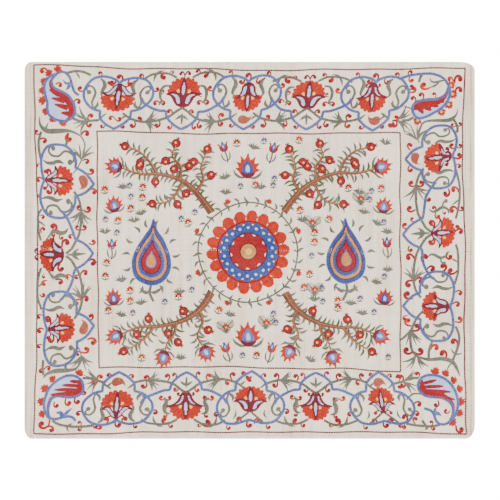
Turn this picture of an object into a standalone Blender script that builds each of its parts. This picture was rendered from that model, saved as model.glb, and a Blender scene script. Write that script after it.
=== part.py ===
"""Suzani: a hand-embroidered ground cloth of two loom widths, laid flat.

The cloth lies in the XY plane, face up, with +Y towards its upper edge and +X to the right as it is
read. The origin is on the surface that it rests on, under the middle of the cloth. Two panels meet at
a seam across the middle. Each is one solid sheet, with its turned side hems, its narrow hem at the
outer edge and the soft folds in which it lies.
"""

import math

import bpy
import bmesh

# Metres. Two loom widths of about 45 cm, sewn edge to edge, give the height.
CLOTH_WIDTH = 1.080
CLOTH_HEIGHT = 0.904
CLOTH_THICK = 0.0015

# The seam runs a little downhill from left to right, and the two panels stay this far apart.
SEAM_SLANT = -0.0078
SEAM_GAP = 0.0003
SEAM_ALLOWANCE = 0.009
SEAM_RISE = 0.0005
SEAM_ROUND = 0.003
SEAM_DIP = 0.0005

# Hems: the cloth turned under twice, so thicker, with pressed grooves running beside the edge.
SIDE_HEM = 0.026
END_HEM = 0.011
HEM_RISE = 0.0012
HEM_STEP = 0.004
EDGE_ROUND = 0.0025
EDGE_DIP = 0.0006
GROOVE_HALF = 0.0016
GROOVE_DEPTH = 0.0009
LEFT_GROOVES = (0.0080, 0.0175)
RIGHT_GROOVES = (0.0032, 0.0095, 0.0158)

# How far each corner is rounded off: along the width, then along the height.
CORNERS = {
    ("upper", "left"): (0.018, 0.021),
    ("upper", "right"): (0.036, 0.020),
    ("lower", "left"): (0.019, 0.026),
    ("lower", "right"): (0.024, 0.032),
}
# The rows of the sheet bend with a rounded corner over this much of its height.
CORNER_REACH = 0.060

# The spacing of the sheet's own columns and rows, away from the hems.
COLUMN_STEP = 0.030
ROW_STEP = 0.030

# Soft folds: the middle (x, y), half the length, half the width, the height, and the direction
# of the crest in degrees from +X.
FOLDS = (
    {"at": (-0.345, 0.125), "long": 0.120, "wide": 0.026, "high": 0.0024, "turn": 64},
    {"at": (-0.290, 0.060), "long": 0.110, "wide": 0.024, "high": 0.0020, "turn": 52},
    {"at": (-0.205, 0.150), "long": 0.100, "wide": 0.026, "high": 0.0018, "turn": -38},
    {"at": (-0.060, 0.265), "long": 0.140, "wide": 0.030, "high": 0.0014, "turn": 82},
    {"at": (0.100, 0.190), "long": 0.120, "wide": 0.034, "high": 0.0016, "turn": 74},
    {"at": (0.300, 0.235), "long": 0.150, "wide": 0.034, "high": 0.0015, "turn": -66},
    {"at": (0.455, 0.060), "long": 0.130, "wide": 0.028, "high": 0.0018, "turn": 84},
    {"at": (-0.470, -0.080), "long": 0.160, "wide": 0.028, "high": 0.0017, "turn": 96},
    {"at": (-0.330, -0.235), "long": 0.110, "wide": 0.030, "high": 0.0019, "turn": 28},
    {"at": (-0.090, -0.330), "long": 0.130, "wide": 0.028, "high": 0.0016, "turn": -70},
    {"at": (0.190, -0.225), "long": 0.150, "wide": 0.032, "high": 0.0018, "turn": 22},
    {"at": (0.370, -0.330), "long": 0.120, "wide": 0.028, "high": 0.0020, "turn": -48},
    {"at": (0.060, -0.075), "long": 0.140, "wide": 0.034, "high": 0.0013, "turn": -14},
)
# Lower swells than this lie flat on the surface.
FOLD_FLAT = 0.0003

CLOTH_COLOUR = (0.70, 0.64, 0.58, 1.0)
CLOTH_ROUGHNESS = 0.72


def smooth_step(value):
    """0 up to 0, 1 from 1, and an even S between them."""
    value = min(max(value, 0.0), 1.0)
    return value * value * (3.0 - 2.0 * value)


def bell(distance, half_width):
    """1 at the middle of a fold or groove, falling smoothly to about 0 at twice half_width."""
    return math.exp(-((distance / half_width) ** 2))


def seam_line(x):
    """The y of the middle of the seam."""
    return SEAM_SLANT * x


def corner_drop(x, end):
    """How far the outer edge of a panel has been rounded back at this x."""
    side = "left" if x < 0 else "right"
    along, back = CORNERS[end, side]
    into = (abs(x) - (CLOTH_WIDTH / 2 - along)) / along
    if into <= 0:
        return 0.0
    return back * (1.0 - math.sqrt(max(0.0, 1.0 - into * into)))


def outer_edge(x, end):
    """The distance from the middle of the cloth to a panel's outer edge at this x."""
    return CLOTH_HEIGHT / 2 - corner_drop(x, end)


def swell(x, y):
    """How high the cloth's underside lifts off the surface that it lies on."""
    height = 0.0
    for fold in FOLDS:
        turn = math.radians(fold["turn"])
        dx, dy = x - fold["at"][0], y - fold["at"][1]
        along = dx * math.cos(turn) + dy * math.sin(turn)
        across = dy * math.cos(turn) - dx * math.sin(turn)
        height += fold["high"] * bell(along, fold["long"]) * bell(across, fold["wide"])
    return max(0.0, height - FOLD_FLAT)


def thickness(x, y, end):
    """The thickness of the cloth: plain sheet, hem, seam allowance and rounded edges."""
    from_side = CLOTH_WIDTH / 2 - abs(x)
    from_end = outer_edge(x, end) - abs(y)
    from_seam = abs(y - seam_line(x))
    hem = max(
        smooth_step((SIDE_HEM - from_side) / HEM_STEP),
        smooth_step((END_HEM - from_end) / HEM_STEP),
    )
    grooves = LEFT_GROOVES if x < 0 else RIGHT_GROOVES
    groove = max(bell(from_side - place, GROOVE_HALF) for place in grooves)
    seam = smooth_step((SEAM_ALLOWANCE - from_seam) / HEM_STEP)
    rounded = smooth_step(1.0 - min(from_side, from_end) / EDGE_ROUND)
    stitched = smooth_step(1.0 - from_seam / SEAM_ROUND)
    raised = max(HEM_RISE * hem, SEAM_RISE * seam)
    return (
        CLOTH_THICK
        + raised
        - GROOVE_DEPTH * groove
        - EDGE_DIP * rounded
        - SEAM_DIP * stitched
    )


def between(low, high, step):
    """Evenly spaced places from low to high, both included, about a step apart."""
    count = max(1, round((high - low) / step))
    return [low + (high - low) * i / count for i in range(count + 1)]


def hem_places(grooves):
    """Distances from a side edge at which the hem's profile turns."""
    places = {0.0, EDGE_ROUND, SIDE_HEM - HEM_STEP, SIDE_HEM}
    for groove in grooves:
        places |= {groove - GROOVE_HALF, groove, groove + GROOVE_HALF}
    return sorted(place for place in places if place >= 0.0)


def columns():
    """The x of every column of the sheet, from left to right."""
    half = CLOTH_WIDTH / 2
    left = [-half + place for place in hem_places(LEFT_GROOVES)]
    right = [half - place for place in hem_places(RIGHT_GROOVES)]
    return left + between(left[-1], right[-1], COLUMN_STEP)[1:-1] + right[::-1]


def rows(x, end):
    """The distance from the cloth's middle line of every row at this x, from seam to edge."""
    sign = 1.0 if end == "upper" else -1.0
    seam = sign * seam_line(x) + SEAM_GAP / 2
    near = [seam, seam + SEAM_ROUND, seam + SEAM_ALLOWANCE]
    half = CLOTH_HEIGHT / 2
    hem = [half - END_HEM - HEM_STEP / 2, half - END_HEM / 2, half - EDGE_ROUND, half]
    plain = between(near[-1], hem[0], ROW_STEP)[1:-1]
    drop = corner_drop(x, end)
    return [
        place - drop * smooth_step(1.0 - (half - place) / CORNER_REACH)
        for place in near + plain + hem
    ]


def cloth_material():
    """Undyed hand-loomed silk and cotton."""
    material = bpy.data.materials.new("ground_cloth")
    material.use_nodes = True
    shader = material.node_tree.nodes["Principled BSDF"]
    shader.inputs["Base Color"].default_value = CLOTH_COLOUR
    shader.inputs["Roughness"].default_value = CLOTH_ROUGHNESS
    shader.inputs["Metallic"].default_value = 0.0
    material.diffuse_color = CLOTH_COLOUR
    return material


def make_panel(end, material):
    """One loom width as a closed sheet: its underside laid out, then extruded to its face."""
    sign = 1.0 if end == "upper" else -1.0
    bm = bmesh.new()
    grid = []
    for x in columns():
        places = [sign * place for place in rows(x, end)]
        grid.append([bm.verts.new((x, y, swell(x, y))) for y in places])
    for left, right in zip(grid, grid[1:]):
        for row in range(len(left) - 1):
            bm.faces.new((left[row], right[row], right[row + 1], left[row + 1]))
    face = bmesh.ops.extrude_face_region(bm, geom=bm.faces[:])["geom"]
    for vert in (part for part in face if isinstance(part, bmesh.types.BMVert)):
        vert.co.z += thickness(vert.co.x, vert.co.y, end)
    bmesh.ops.recalc_face_normals(bm, faces=bm.faces[:])
    mesh = bpy.data.meshes.new("panel_" + end)
    bm.to_mesh(mesh)
    bm.free()
    mesh.shade_smooth()
    mesh.set_sharp_from_angle(angle=math.radians(50))
    mesh.materials.append(material)
    panel = bpy.data.objects.new("panel_" + end, mesh)
    bpy.context.scene.collection.objects.link(panel)
    return panel


def main():
    for old in list(bpy.data.objects):
        bpy.data.objects.remove(old)
    material = cloth_material()
    for end in ("upper", "lower"):
        make_panel(end, material)


main()
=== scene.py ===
import math

import bpy
import numpy as np
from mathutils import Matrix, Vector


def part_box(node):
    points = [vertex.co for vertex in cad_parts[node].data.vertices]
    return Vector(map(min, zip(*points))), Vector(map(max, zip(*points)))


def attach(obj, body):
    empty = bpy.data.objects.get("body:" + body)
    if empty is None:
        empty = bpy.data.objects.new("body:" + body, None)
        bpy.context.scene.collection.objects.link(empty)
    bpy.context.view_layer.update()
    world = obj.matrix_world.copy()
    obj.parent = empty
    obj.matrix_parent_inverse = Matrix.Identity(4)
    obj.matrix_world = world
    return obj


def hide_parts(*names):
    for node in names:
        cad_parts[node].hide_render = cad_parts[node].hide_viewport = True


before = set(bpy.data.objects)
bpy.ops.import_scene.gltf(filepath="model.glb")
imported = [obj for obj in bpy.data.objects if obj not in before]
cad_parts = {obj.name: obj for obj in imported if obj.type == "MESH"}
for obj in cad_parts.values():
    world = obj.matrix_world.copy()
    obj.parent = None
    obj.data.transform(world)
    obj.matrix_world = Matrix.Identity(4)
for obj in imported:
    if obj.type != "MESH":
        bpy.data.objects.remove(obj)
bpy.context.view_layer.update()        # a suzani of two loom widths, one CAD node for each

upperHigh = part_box("panel_upper")[1]
mm = 0.001               # the drawing below is in millimetres, from the middle of the cloth
rng = np.random.default_rng(41)
bpy.ops.object.select_all(action="DESELECT")


# Small helpers for shapes drawn on the cloth

def softStep(value):
    value = np.clip(value, 0.0, 1.0)
    return value * value * (3.0 - 2.0 * value)


def evenly(low, high, step):
    return np.linspace(low, high, max(1, round((high - low) / step)) + 1)


def colour(red, green, blue):
    # screen colour, 0 to 255, to the linear values that Blender takes
    parts = np.array([red, green, blue]) / 255
    linear = np.where(parts <= 0.04045, parts / 12.92, ((parts + 0.055) / 1.055) ** 2.4)
    return (*linear.tolist(), 1.0)


# The ground cloth: two panels with turned hems, lying in soft folds

cloth = {
    "halfWidth": upperHigh.x / mm,
    "halfHeight": upperHigh.y / mm,
    "thick": 1.5,
    "seamSlant": -0.0078,
    "seamGap": 0.02,
    "seamAllowance": 9.0,
    "seamRise": 0.5,
    "seamDip": 0.55,
    "seamRound": 3.0,
    "seamBend": 40.0,        # the rows follow the seam's slant less and less over this distance
    "sideHem": 26.0,
    "endHem": 11.0,
    "hemRise": 1.2,
    "hemStep": 4.0,
    "edgeRound": 2.2,
    "edgeDip": 0.6,
    # place from the side edge, half width and strength of each pressed groove
    "leftGrooves": ((4.8, 2.2, 0.8), (10.2, 1.1, 0.35), (15.2, 1.5, 0.9), (20.4, 1.2, 0.6)),
    "rightGrooves": ((3.8, 1.3, 0.7), (10.4, 2.6, 1.0), (15.4, 1.0, 0.3), (18.6, 1.3, 0.6),
                     (23.4, 1.2, 0.5)),
    "grooveDepth": 0.8,
    "creaseSink": 0.6,       # the most that a crease sinks the face
    "creaseLift": 0.5,       # the most that it lifts the underside
    "creaseShade": 0.45,      # how much a crease's painted shade in its trough and painted light on its ridge tell in the tone, beside a groove's painted shade
    "seamRows": (0.0, 1.5, 3.0, 5.0, 7.0, 9.0),
    "plainStep": 6.0,
    "fineStep": 1.25,
    "smoothUnder": 60,       # degrees between faces
}
# How far each corner is rounded off, along the width and along the height
cornerCut = {
    ("upper", "left"): (18, 21), ("upper", "right"): (36, 20),
    ("lower", "left"): (19, 26), ("lower", "right"): (24, 32),
}
cornerReach = 60.0
# The main folds: middle, half length, half width, height, and the crest's turn in degrees
folds = (
    (-345, 125, 120, 26, 2.4, 64), (-290, 60, 110, 24, 2.0, 52), (-205, 150, 100, 26, 1.8, -38),
    (-60, 265, 140, 30, 1.4, 82), (100, 190, 120, 34, 1.6, 74), (300, 235, 150, 34, 1.5, -66),
    (455, 60, 130, 28, 1.8, 84), (-470, -80, 160, 28, 1.7, 96), (-330, -235, 110, 30, 1.9, 28),
    (-90, -330, 130, 28, 1.6, -70), (190, -225, 150, 32, 1.8, 22), (370, -330, 120, 28, 2.0, -48),
    (60, -75, 140, 34, 1.3, -14),
)
foldFlat = 0.3
# Fine creases that the stitching and the storing pressed in: how many, and their sizes in mm
creasePlan = {"count": 150, "long": (14, 46), "wide": (2.6, 6.5), "high": (-0.34, 0.42)}
creases = [
    (
        rng.uniform(-520, 520), rng.uniform(-430, 430), rng.uniform(*creasePlan["long"]),
        rng.uniform(*creasePlan["wide"]), rng.uniform(*creasePlan["high"]),
        rng.normal(80, 34),
    )
    for _ in range(creasePlan["count"])
]
# Sharper creases that show in the plain field, upper left and middle
creases += [
    (-352, 118, 62, 5.0, 1.0, 66), (-338, 96, 50, 4.0, -0.6, 60), (-322, 84, 58, 5.5, 0.9, 54),
    (-205, 132, 44, 4.5, 0.8, -36), (-190, 120, 40, 4.0, -0.5, -42), (26, 104, 52, 5.0, 0.8, 58),
    (42, 98, 46, 4.0, -0.5, 62), (-300, 205, 50, 5.0, 0.6, 70), (250, 120, 44, 5.0, 0.5, 40),
]


def ridges(x, y, rows):
    height = np.zeros(np.shape(x))
    for atX, atY, halfLong, halfWide, high, turn in rows:
        angle = math.radians(turn)
        along = (x - atX) * math.cos(angle) + (y - atY) * math.sin(angle)
        across = (y - atY) * math.cos(angle) - (x - atX) * math.sin(angle)
        height += high * np.exp(-((along / halfLong) ** 2) - (across / halfWide) ** 2)
    return height


def swell(x, y):
    return np.maximum(0.0, ridges(x, y, folds) - foldFlat)


def cornerDrop(x, end):
    drop = np.zeros(np.shape(x))
    for side, sign in (("left", -1), ("right", 1)):
        along, back = cornerCut[end, side]
        into = np.clip((sign * x - (cloth["halfWidth"] - along)) / along, 0.0, 1.0)
        drop += back * (1.0 - np.sqrt(1.0 - into * into))
    return drop


def pressed(x, y):
    # how deep in a pressed groove each place is, from 0 to 1: a groove wavers and fades on its way
    fromSide = cloth["halfWidth"] - np.abs(x)
    groove = np.zeros(np.shape(x))
    for sign, key in ((-1, "leftGrooves"), (1, "rightGrooves")):
        for place, half, strength in cloth[key]:
            waver = 0.7 * np.sin(y / 61 + place) + 0.5 * np.sin(y / 23 + 2 * place)
            fade = 0.8 + 0.2 * np.sin(y / 37 + 5 * place)
            line = strength * fade * np.exp(-(((fromSide - place - waver) / half) ** 2))
            groove = np.maximum(groove, np.where(sign * x > 0, line, 0.0))
    return groove


def thickness(x, y):
    upper = y > cloth["seamSlant"] * x
    drop = np.where(upper, cornerDrop(x, "upper"), cornerDrop(x, "lower"))
    fromSide = cloth["halfWidth"] - np.abs(x)
    fromEnd = cloth["halfHeight"] - drop - np.abs(y)
    fromSeam = np.abs(y - cloth["seamSlant"] * x)
    hem = np.maximum(
        softStep((cloth["sideHem"] - fromSide) / cloth["hemStep"]),
        softStep((cloth["endHem"] - fromEnd) / cloth["hemStep"]),
    )
    seam = softStep((cloth["seamAllowance"] - fromSeam) / cloth["hemStep"])
    stitched = softStep(1.0 - fromSeam / cloth["seamRound"])
    rounded = softStep(1.0 - np.minimum(fromSide, fromEnd) / cloth["edgeRound"])
    raised = np.maximum(cloth["hemRise"] * hem, cloth["seamRise"] * seam)
    return (
        cloth["thick"] + raised - cloth["grooveDepth"] * pressed(x, y)
        - cloth["seamDip"] * stitched - cloth["edgeDip"] * rounded
    )


def faceHeight(x, y):
    # the height of the cloth's face, in mm, which the stitches lie on
    crease = np.maximum(ridges(x, y, creases), -cloth["creaseSink"])
    return swell(x, y) + thickness(x, y) + crease


def columnPlaces():
    half, hem = cloth["halfWidth"], cloth["sideHem"]
    left = evenly(-half, -half + hem, cloth["fineStep"])
    plain = evenly(-half + hem, half - hem, cloth["plainStep"])
    return np.concatenate([left, plain[1:-1], -left[::-1]])


def rowPlaces():
    # distances from the seam's middle line at x = 0, out to the edge
    half, hem = cloth["halfHeight"], cloth["endHem"] + cloth["hemStep"] / 2
    seam = np.array(cloth["seamRows"])
    plain = evenly(seam[-1], half - hem, cloth["plainStep"])
    return np.concatenate([seam, plain[1:-1], evenly(half - hem, half, cloth["fineStep"])])


def makeClothPanel(end, material):
    # one loom width: a grid laid out, extruded to its thickness, then shaped
    columns, rows = columnPlaces(), rowPlaces()
    nx, ny = len(columns) - 1, len(rows) - 1
    bpy.ops.object.select_all(action="DESELECT")
    bpy.ops.mesh.primitive_grid_add(x_subdivisions=nx, y_subdivisions=ny, size=1)
    panel = bpy.context.object
    panel.name = "cloth_" + end
    bpy.ops.object.mode_set(mode="EDIT")
    bpy.ops.mesh.select_all(action="SELECT")
    bpy.ops.mesh.extrude_region_move(TRANSFORM_OT_translate={"value": (0, 0, 1)})
    bpy.ops.mesh.select_all(action="SELECT")
    bpy.ops.mesh.normals_make_consistent(inside=False)
    bpy.ops.object.mode_set(mode="OBJECT")
    spots = np.empty(len(panel.data.vertices) * 3)
    panel.data.vertices.foreach_get("co", spots)
    spots = spots.reshape(-1, 3)
    column = np.rint((spots[:, 0] + 0.5) * nx).astype(int)
    row = np.rint((spots[:, 1] + 0.5) * ny).astype(int)
    sign = 1 if end == "upper" else -1
    if end == "lower":
        row = ny - row
    x = columns[column]
    place = rows[row]
    seam = sign * cloth["seamSlant"] * x + cloth["seamGap"] / 2
    half = cloth["halfHeight"]
    place = place + seam * (1.0 - softStep(place / cloth["seamBend"]))
    place -= cornerDrop(x, end) * softStep(1.0 - (half - place) / cornerReach)
    y = sign * place
    top = spots[:, 2] > 0.5
    crease = ridges(x, y, creases)
    under = swell(x, y) + np.clip(crease, 0.0, cloth["creaseLift"])
    z = np.where(top, faceHeight(x, y), under)
    panel.data.vertices.foreach_set("co", (np.stack([x, y, z], 1) * mm).ravel())
    panel.data.update()
    # painted shade: a tone that darkens the colour in the pressed grooves and crease troughs and lightens
    # it on crease ridges, where shade and light would fall
    dip = panel.data.attributes.new("dip", "FLOAT", "POINT")
    dip.data.foreach_set("value", pressed(x, y) - cloth["creaseShade"] * crease)
    bpy.ops.object.shade_smooth_by_angle(angle=math.radians(cloth["smoothUnder"]))
    panel.data.materials.append(material)
    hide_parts("panel_" + end)
    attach(panel, "root")
    return panel


# Materials

class Wire:
    # wraps a node's output, so that sums and products of masks read as plain maths
    def __init__(self, tree, socket):
        self.tree = tree
        self.socket = socket

    def make(self, kind, settings, inputs, output=0):
        node = self.tree.nodes.new(kind)
        for name, value in settings.items():
            if name == "stops":
                ramp = node.color_ramp.elements
                while len(ramp) < len(value):
                    ramp.new(0.5)
                for stop, (place, shade) in zip(ramp, value):
                    stop.position = place
                    stop.color = shade
            else:
                setattr(node, name, value)
        for name, value in inputs.items():
            if isinstance(value, Wire):
                self.tree.links.new(value.socket, node.inputs[name])
            else:
                node.inputs[name].default_value = value
        return Wire(self.tree, node.outputs[output])

    def maths(self, operation, first, second):
        return self.make("ShaderNodeMath", {"operation": operation}, {0: first, 1: second})

    def __add__(self, other):
        return self.maths("ADD", self, other)

    def __radd__(self, other):
        return self.maths("ADD", other, self)

    def __sub__(self, other):
        return self.maths("SUBTRACT", self, other)

    def __rsub__(self, other):
        return self.maths("SUBTRACT", other, self)

    def __mul__(self, other):
        return self.maths("MULTIPLY", self, other)

    def __rmul__(self, other):
        return self.maths("MULTIPLY", other, self)


def noise(place, scale, detail):
    return place.make("ShaderNodeTexNoise", {}, {"Vector": place, "Scale": scale, "Detail": detail})


def stretched(place, scale):
    return place.make("ShaderNodeMapping", {}, {"Vector": place, "Scale": scale})


def shaded(tone, stops):
    return tone.make("ShaderNodeValToRGB", {"stops": stops}, {"Fac": tone})


def connect(wire, socket):
    wire.tree.links.new(wire.socket, socket)


fibre = {"sheenRoughness": 0.35, "specular": 0.16}


def newMaterial(name, roughness, sheen):
    material = bpy.data.materials.new(name)
    material.use_nodes = True
    shader = material.node_tree.nodes["Principled BSDF"]
    shader.inputs["Roughness"].default_value = roughness
    shader.inputs["Sheen Weight"].default_value = sheen
    shader.inputs["Sheen Roughness"].default_value = fibre["sheenRoughness"]
    shader.inputs["Specular IOR Level"].default_value = fibre["specular"]
    start = Wire(material.node_tree, None)
    return material, shader, start, start.make("ShaderNodeTexCoord", {}, {}, "Object")


clothLook = {
    "stops": (
        # the darkest stop is painted shade, reached only in the pressed grooves and crease troughs
        (0.22, colour(160, 146, 132)), (0.40, colour(212, 195, 178)),
        (0.53, colour(234, 219, 202)), (0.66, colour(246, 233, 218)),
    ),
    "weftScale": (9, 620, 1),
    "warpScale": (560, 7, 1),
    "streakScale": (75, 3, 1),
    "cloudScale": 7.0,
    "speckScale": 380.0,
    # how much each unevenness tells in the tone, and how much painted shade the grooves and creases add
    "weft": 0.30,
    "warp": 0.34,
    "cloud": 0.40,
    "speck": 0.12,
    "streak": 0.36,
    "dip": 0.26,
    "darker": 0.22,
    "roughness": 0.7,
    "sheen": 0.05,
    "threadsPerMetre": 1100,
    "threadRelief": 0.5,
    "slubRelief": 0.8,
    "weaveDepth": 0.25,
    "weaveHigh": 0.0006,
}


def clothMaterial():
    look = clothLook
    material, shader, start, place = newMaterial("groundSilk", look["roughness"], look["sheen"])
    weft = noise(stretched(place, look["weftScale"]), 1.0, 3.0)
    warp = noise(stretched(place, look["warpScale"]), 1.0, 3.0)
    streak = noise(stretched(place, look["streakScale"]), 1.0, 2.0)
    cloud = noise(place, look["cloudScale"], 4.0)
    speck = noise(place, look["speckScale"], 2.0)
    # painted shade and light of the grooves and creases, read from the panel and taken off the tone
    dip = start.make("ShaderNodeAttribute", {"attribute_name": "dip"}, {}, "Fac")
    tone = weft * look["weft"] + warp * look["warp"] + cloud * look["cloud"] + speck * look["speck"]
    tone = tone + streak * look["streak"] - look["darker"] - dip * look["dip"]
    connect(shaded(tone, look["stops"]), shader.inputs["Base Color"])
    threadsOf = {}
    for direction in ("X", "Y"):
        threadsOf[direction] = start.make(
            "ShaderNodeTexWave", {"bands_direction": direction},
            {"Vector": place, "Scale": look["threadsPerMetre"] / math.tau, "Distortion": 0.6,
             "Detail": 1.0}, 1,
        )
    relief = threadsOf["X"] * look["threadRelief"] + threadsOf["Y"] * look["threadRelief"]
    relief = relief + weft * look["slubRelief"] + warp * look["slubRelief"]
    bump = start.make("ShaderNodeBump", {}, {
        "Strength": look["weaveDepth"], "Distance": look["weaveHigh"], "Height": relief,
    })
    connect(bump, shader.inputs["Normal"])
    return material


silkLook = {
    "roughness": 0.55,
    "stops": (0.1, 0.5, 0.9),
    # how much a stitch's own tone and its dye lot tell
    "stitch": 0.62,
    "lot": 0.9,
    "darker": 0.26,
    "lotScale": 11.0,
    "plyScale": 1.1,
    "plyDepth": 0.3,
    "plyHigh": 0.0003,
}


def silkMaterial(name, dyes):
    # dyed silk: each stitch has its own tone, and each dye lot drifts slowly
    look = silkLook
    material, shader, start, place = newMaterial(name, look["roughness"], 0.0)
    own = start.make("ShaderNodeAttribute", {"attribute_name": "tone"}, {}, "Fac")
    lot = noise(place, look["lotScale"], 2.0)
    tone = own * look["stitch"] + lot * look["lot"] - look["darker"]
    stops = [(stop, colour(*dye)) for stop, dye in zip(look["stops"], dyes)]
    connect(shaded(tone, stops), shader.inputs["Base Color"])
    strand = start.make("ShaderNodeUVMap", {"uv_map": "thread"}, {})
    ply = start.make(
        "ShaderNodeTexWave", {"bands_direction": "DIAGONAL"},
        {"Vector": strand, "Scale": look["plyScale"], "Distortion": 0.4}, 1,
    )
    bump = start.make("ShaderNodeBump", {}, {
        "Strength": look["plyDepth"], "Distance": look["plyHigh"], "Height": ply,
    })
    connect(bump, shader.inputs["Normal"])
    return material


# Thread colours: the darkest, usual and palest dye of each

threads = {
    "vermilion": ((150, 34, 22), (176, 44, 28), (194, 64, 42)),
    "red": ((122, 20, 28), (146, 30, 36), (166, 46, 48)),
    "maroon": ((78, 18, 30), (104, 30, 44), (124, 44, 56)),
    "frame": ((68, 14, 20), (86, 22, 28), (102, 34, 38)),
    "blue": ((66, 82, 148), (86, 103, 166), (110, 126, 184)),
    "deepBlue": ((36, 56, 116), (50, 72, 138), (70, 94, 158)),
    "paleBlue": ((152, 170, 216), (176, 191, 230), (200, 210, 238)),
    "green": ((82, 84, 74), (101, 103, 93), (121, 123, 112)),
    "leaf": ((56, 70, 44), (74, 90, 60), (96, 112, 82)),
    "yellow": ((214, 156, 66), (232, 184, 98), (238, 202, 128)),
    "tan": ((164, 106, 54), (188, 132, 78), (206, 156, 104)),
    "rose": ((134, 60, 46), (156, 80, 64), (176, 102, 84)),
    "bark": ((92, 52, 40), (116, 70, 56), (138, 90, 74)),
    "cream": ((214, 196, 172), (228, 210, 186), (236, 222, 202)),
}
book = {name: [] for name in threads}   # the stitches of each thread, as they are worked


class Spot:
    # where a motif is drawn: its own millimetres, turned, mirrored and stretched onto the cloth
    def __init__(self, x=0, y=0, turn=0, flip=False, wide=1.0, tall=1.0, lean=0.0, inside=None):
        angle = math.radians(turn)
        spin = np.array([[math.cos(angle), -math.sin(angle)], [math.sin(angle), math.cos(angle)]])
        self.matrix = spin @ np.array([[-wide if flip else wide, lean], [0.0, tall]])
        self.origin = np.array([x, y], float)
        if inside is not None:
            self.origin = inside.lay([(x, y)])[0]
            self.matrix = inside.matrix @ self.matrix
        self.size = math.sqrt(abs(np.linalg.det(self.matrix)))

    def lay(self, points):
        return np.asarray(points, float) @ self.matrix.T + self.origin

    def heading(self, degrees):
        angle = math.radians(degrees)
        way = self.matrix @ np.array([math.cos(angle), math.sin(angle)])
        return math.atan2(way[1], way[0])


def smoothLine(points, closed=False):
    # a curve through the points, with a place about every millimetre
    points = np.asarray(points, float)
    if closed:
        padded = np.vstack([points[-1], points, points[:2]])
    else:
        padded = np.vstack([2 * points[0] - points[1], points, 2 * points[-1] - points[-2]])
    pieces = []
    for before, start, end, after in zip(padded, padded[1:], padded[2:], padded[3:]):
        count = max(2, int(np.linalg.norm(end - start) / 1.2))
        t = np.linspace(0, 1, count, endpoint=False)[:, None]
        pieces.append(
            0.5 * (
                2 * start + (end - before) * t
                + (2 * before - 5 * start + 4 * end - after) * t ** 2
                + (3 * start - before - 3 * end + after) * t ** 3
            )
        )
    line = np.vstack(pieces)
    return line if closed else np.vstack([line, points[-1]])


def evenLine(line, step):
    # the same line with places an even step apart
    gaps = np.linalg.norm(np.diff(line, axis=0), axis=1)
    travelled = np.concatenate([[0], np.cumsum(gaps)])
    count = max(2, int(round(travelled[-1] / step)) + 1)
    marks = np.linspace(0, travelled[-1], count)
    return np.stack([np.interp(marks, travelled, line[:, k]) for k in (0, 1)], 1)


def normals(line):
    way = np.gradient(line, axis=0)
    way /= np.maximum(np.linalg.norm(way, axis=1, keepdims=True), 1e-9)
    return np.stack([-way[:, 1], way[:, 0]], 1)


def facing(way):
    # the turn, in degrees, of a motif that stands along this way
    return math.degrees(math.atan2(way[1], way[0])) - 90


def bothSides(spot):
    return [Spot(flip=flip, inside=spot) for flip in (False, True)]


def twin(half):
    # a closed outline from its left half, whose points on the axis come once
    return [*half, *((-u, v) for u, v in reversed(half) if u)]


def dyeTones(count):
    return np.clip(rng.normal(0.5, 0.2, count), 0, 1)


def addStitches(thread, starts, ends, width, height, level, tone, slim=0):
    count = len(starts)
    if count:
        rest = [np.broadcast_to(v, count) for v in (width, height, level, tone, slim)]
        book[thread].append(np.column_stack([starts, ends, *rest]))


stitch = {
    "link": 4.2,                # length of one chain link
    "chainWide": 2.4,
    "chainHigh": 0.75,
    "chainRows": 0.95,          # from row to row, in widths
    "strandWide": 0.8,          # each strand of a link, in widths
    "strandSplay": (0.16, 0.27),    # from the line to a strand's root and end, in widths
    "strandLap": (0.25, 0.40),      # how far it runs back and on, in links
    "laidStep": 1.7,            # between the laid threads of a filled shape
    "laidWide": 1.5,            # of a laid thread, in steps
    "laidLong": 7.0,
    "laidHigh": 0.6,
    "laidInset": 0.3,
    "laidLap": 0.7,
    "laidLeast": 0.8,           # a shorter stitch is left out
    "satinStep": 1.5,
    "satinHigh": (0.45, 0.9),
    "levelStep": 0.3,           # each layer of stitches lies this much higher
}


def chain(spot, points, thread, rows=1, wide=None, level=1, closed=False):
    # rows of chain stitch side by side along a line: each link is two strands in a V
    wide = wide or stitch["chainWide"]
    line = smoothLine(spot.lay(points), closed)
    if closed:
        line = np.vstack([line, line[:1]])
    line = evenLine(line, stitch["link"])
    out = normals(line)
    back, on = stitch["strandLap"]
    root, tip = stitch["strandSplay"]
    for row in range(rows):
        offset = (row - (rows - 1) / 2) * wide * stitch["chainRows"]
        path = line + out * offset
        start, end = path[:-1], path[1:]
        way = end - start
        tone = dyeTones(len(start))
        for side in (-1, 1):
            addStitches(
                thread, start - way * back + out[:-1] * side * wide * root,
                end + way * on + out[1:] * side * wide * tip,
                wide * stitch["strandWide"], stitch["chainHigh"], level, tone, 1,
            )


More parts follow.
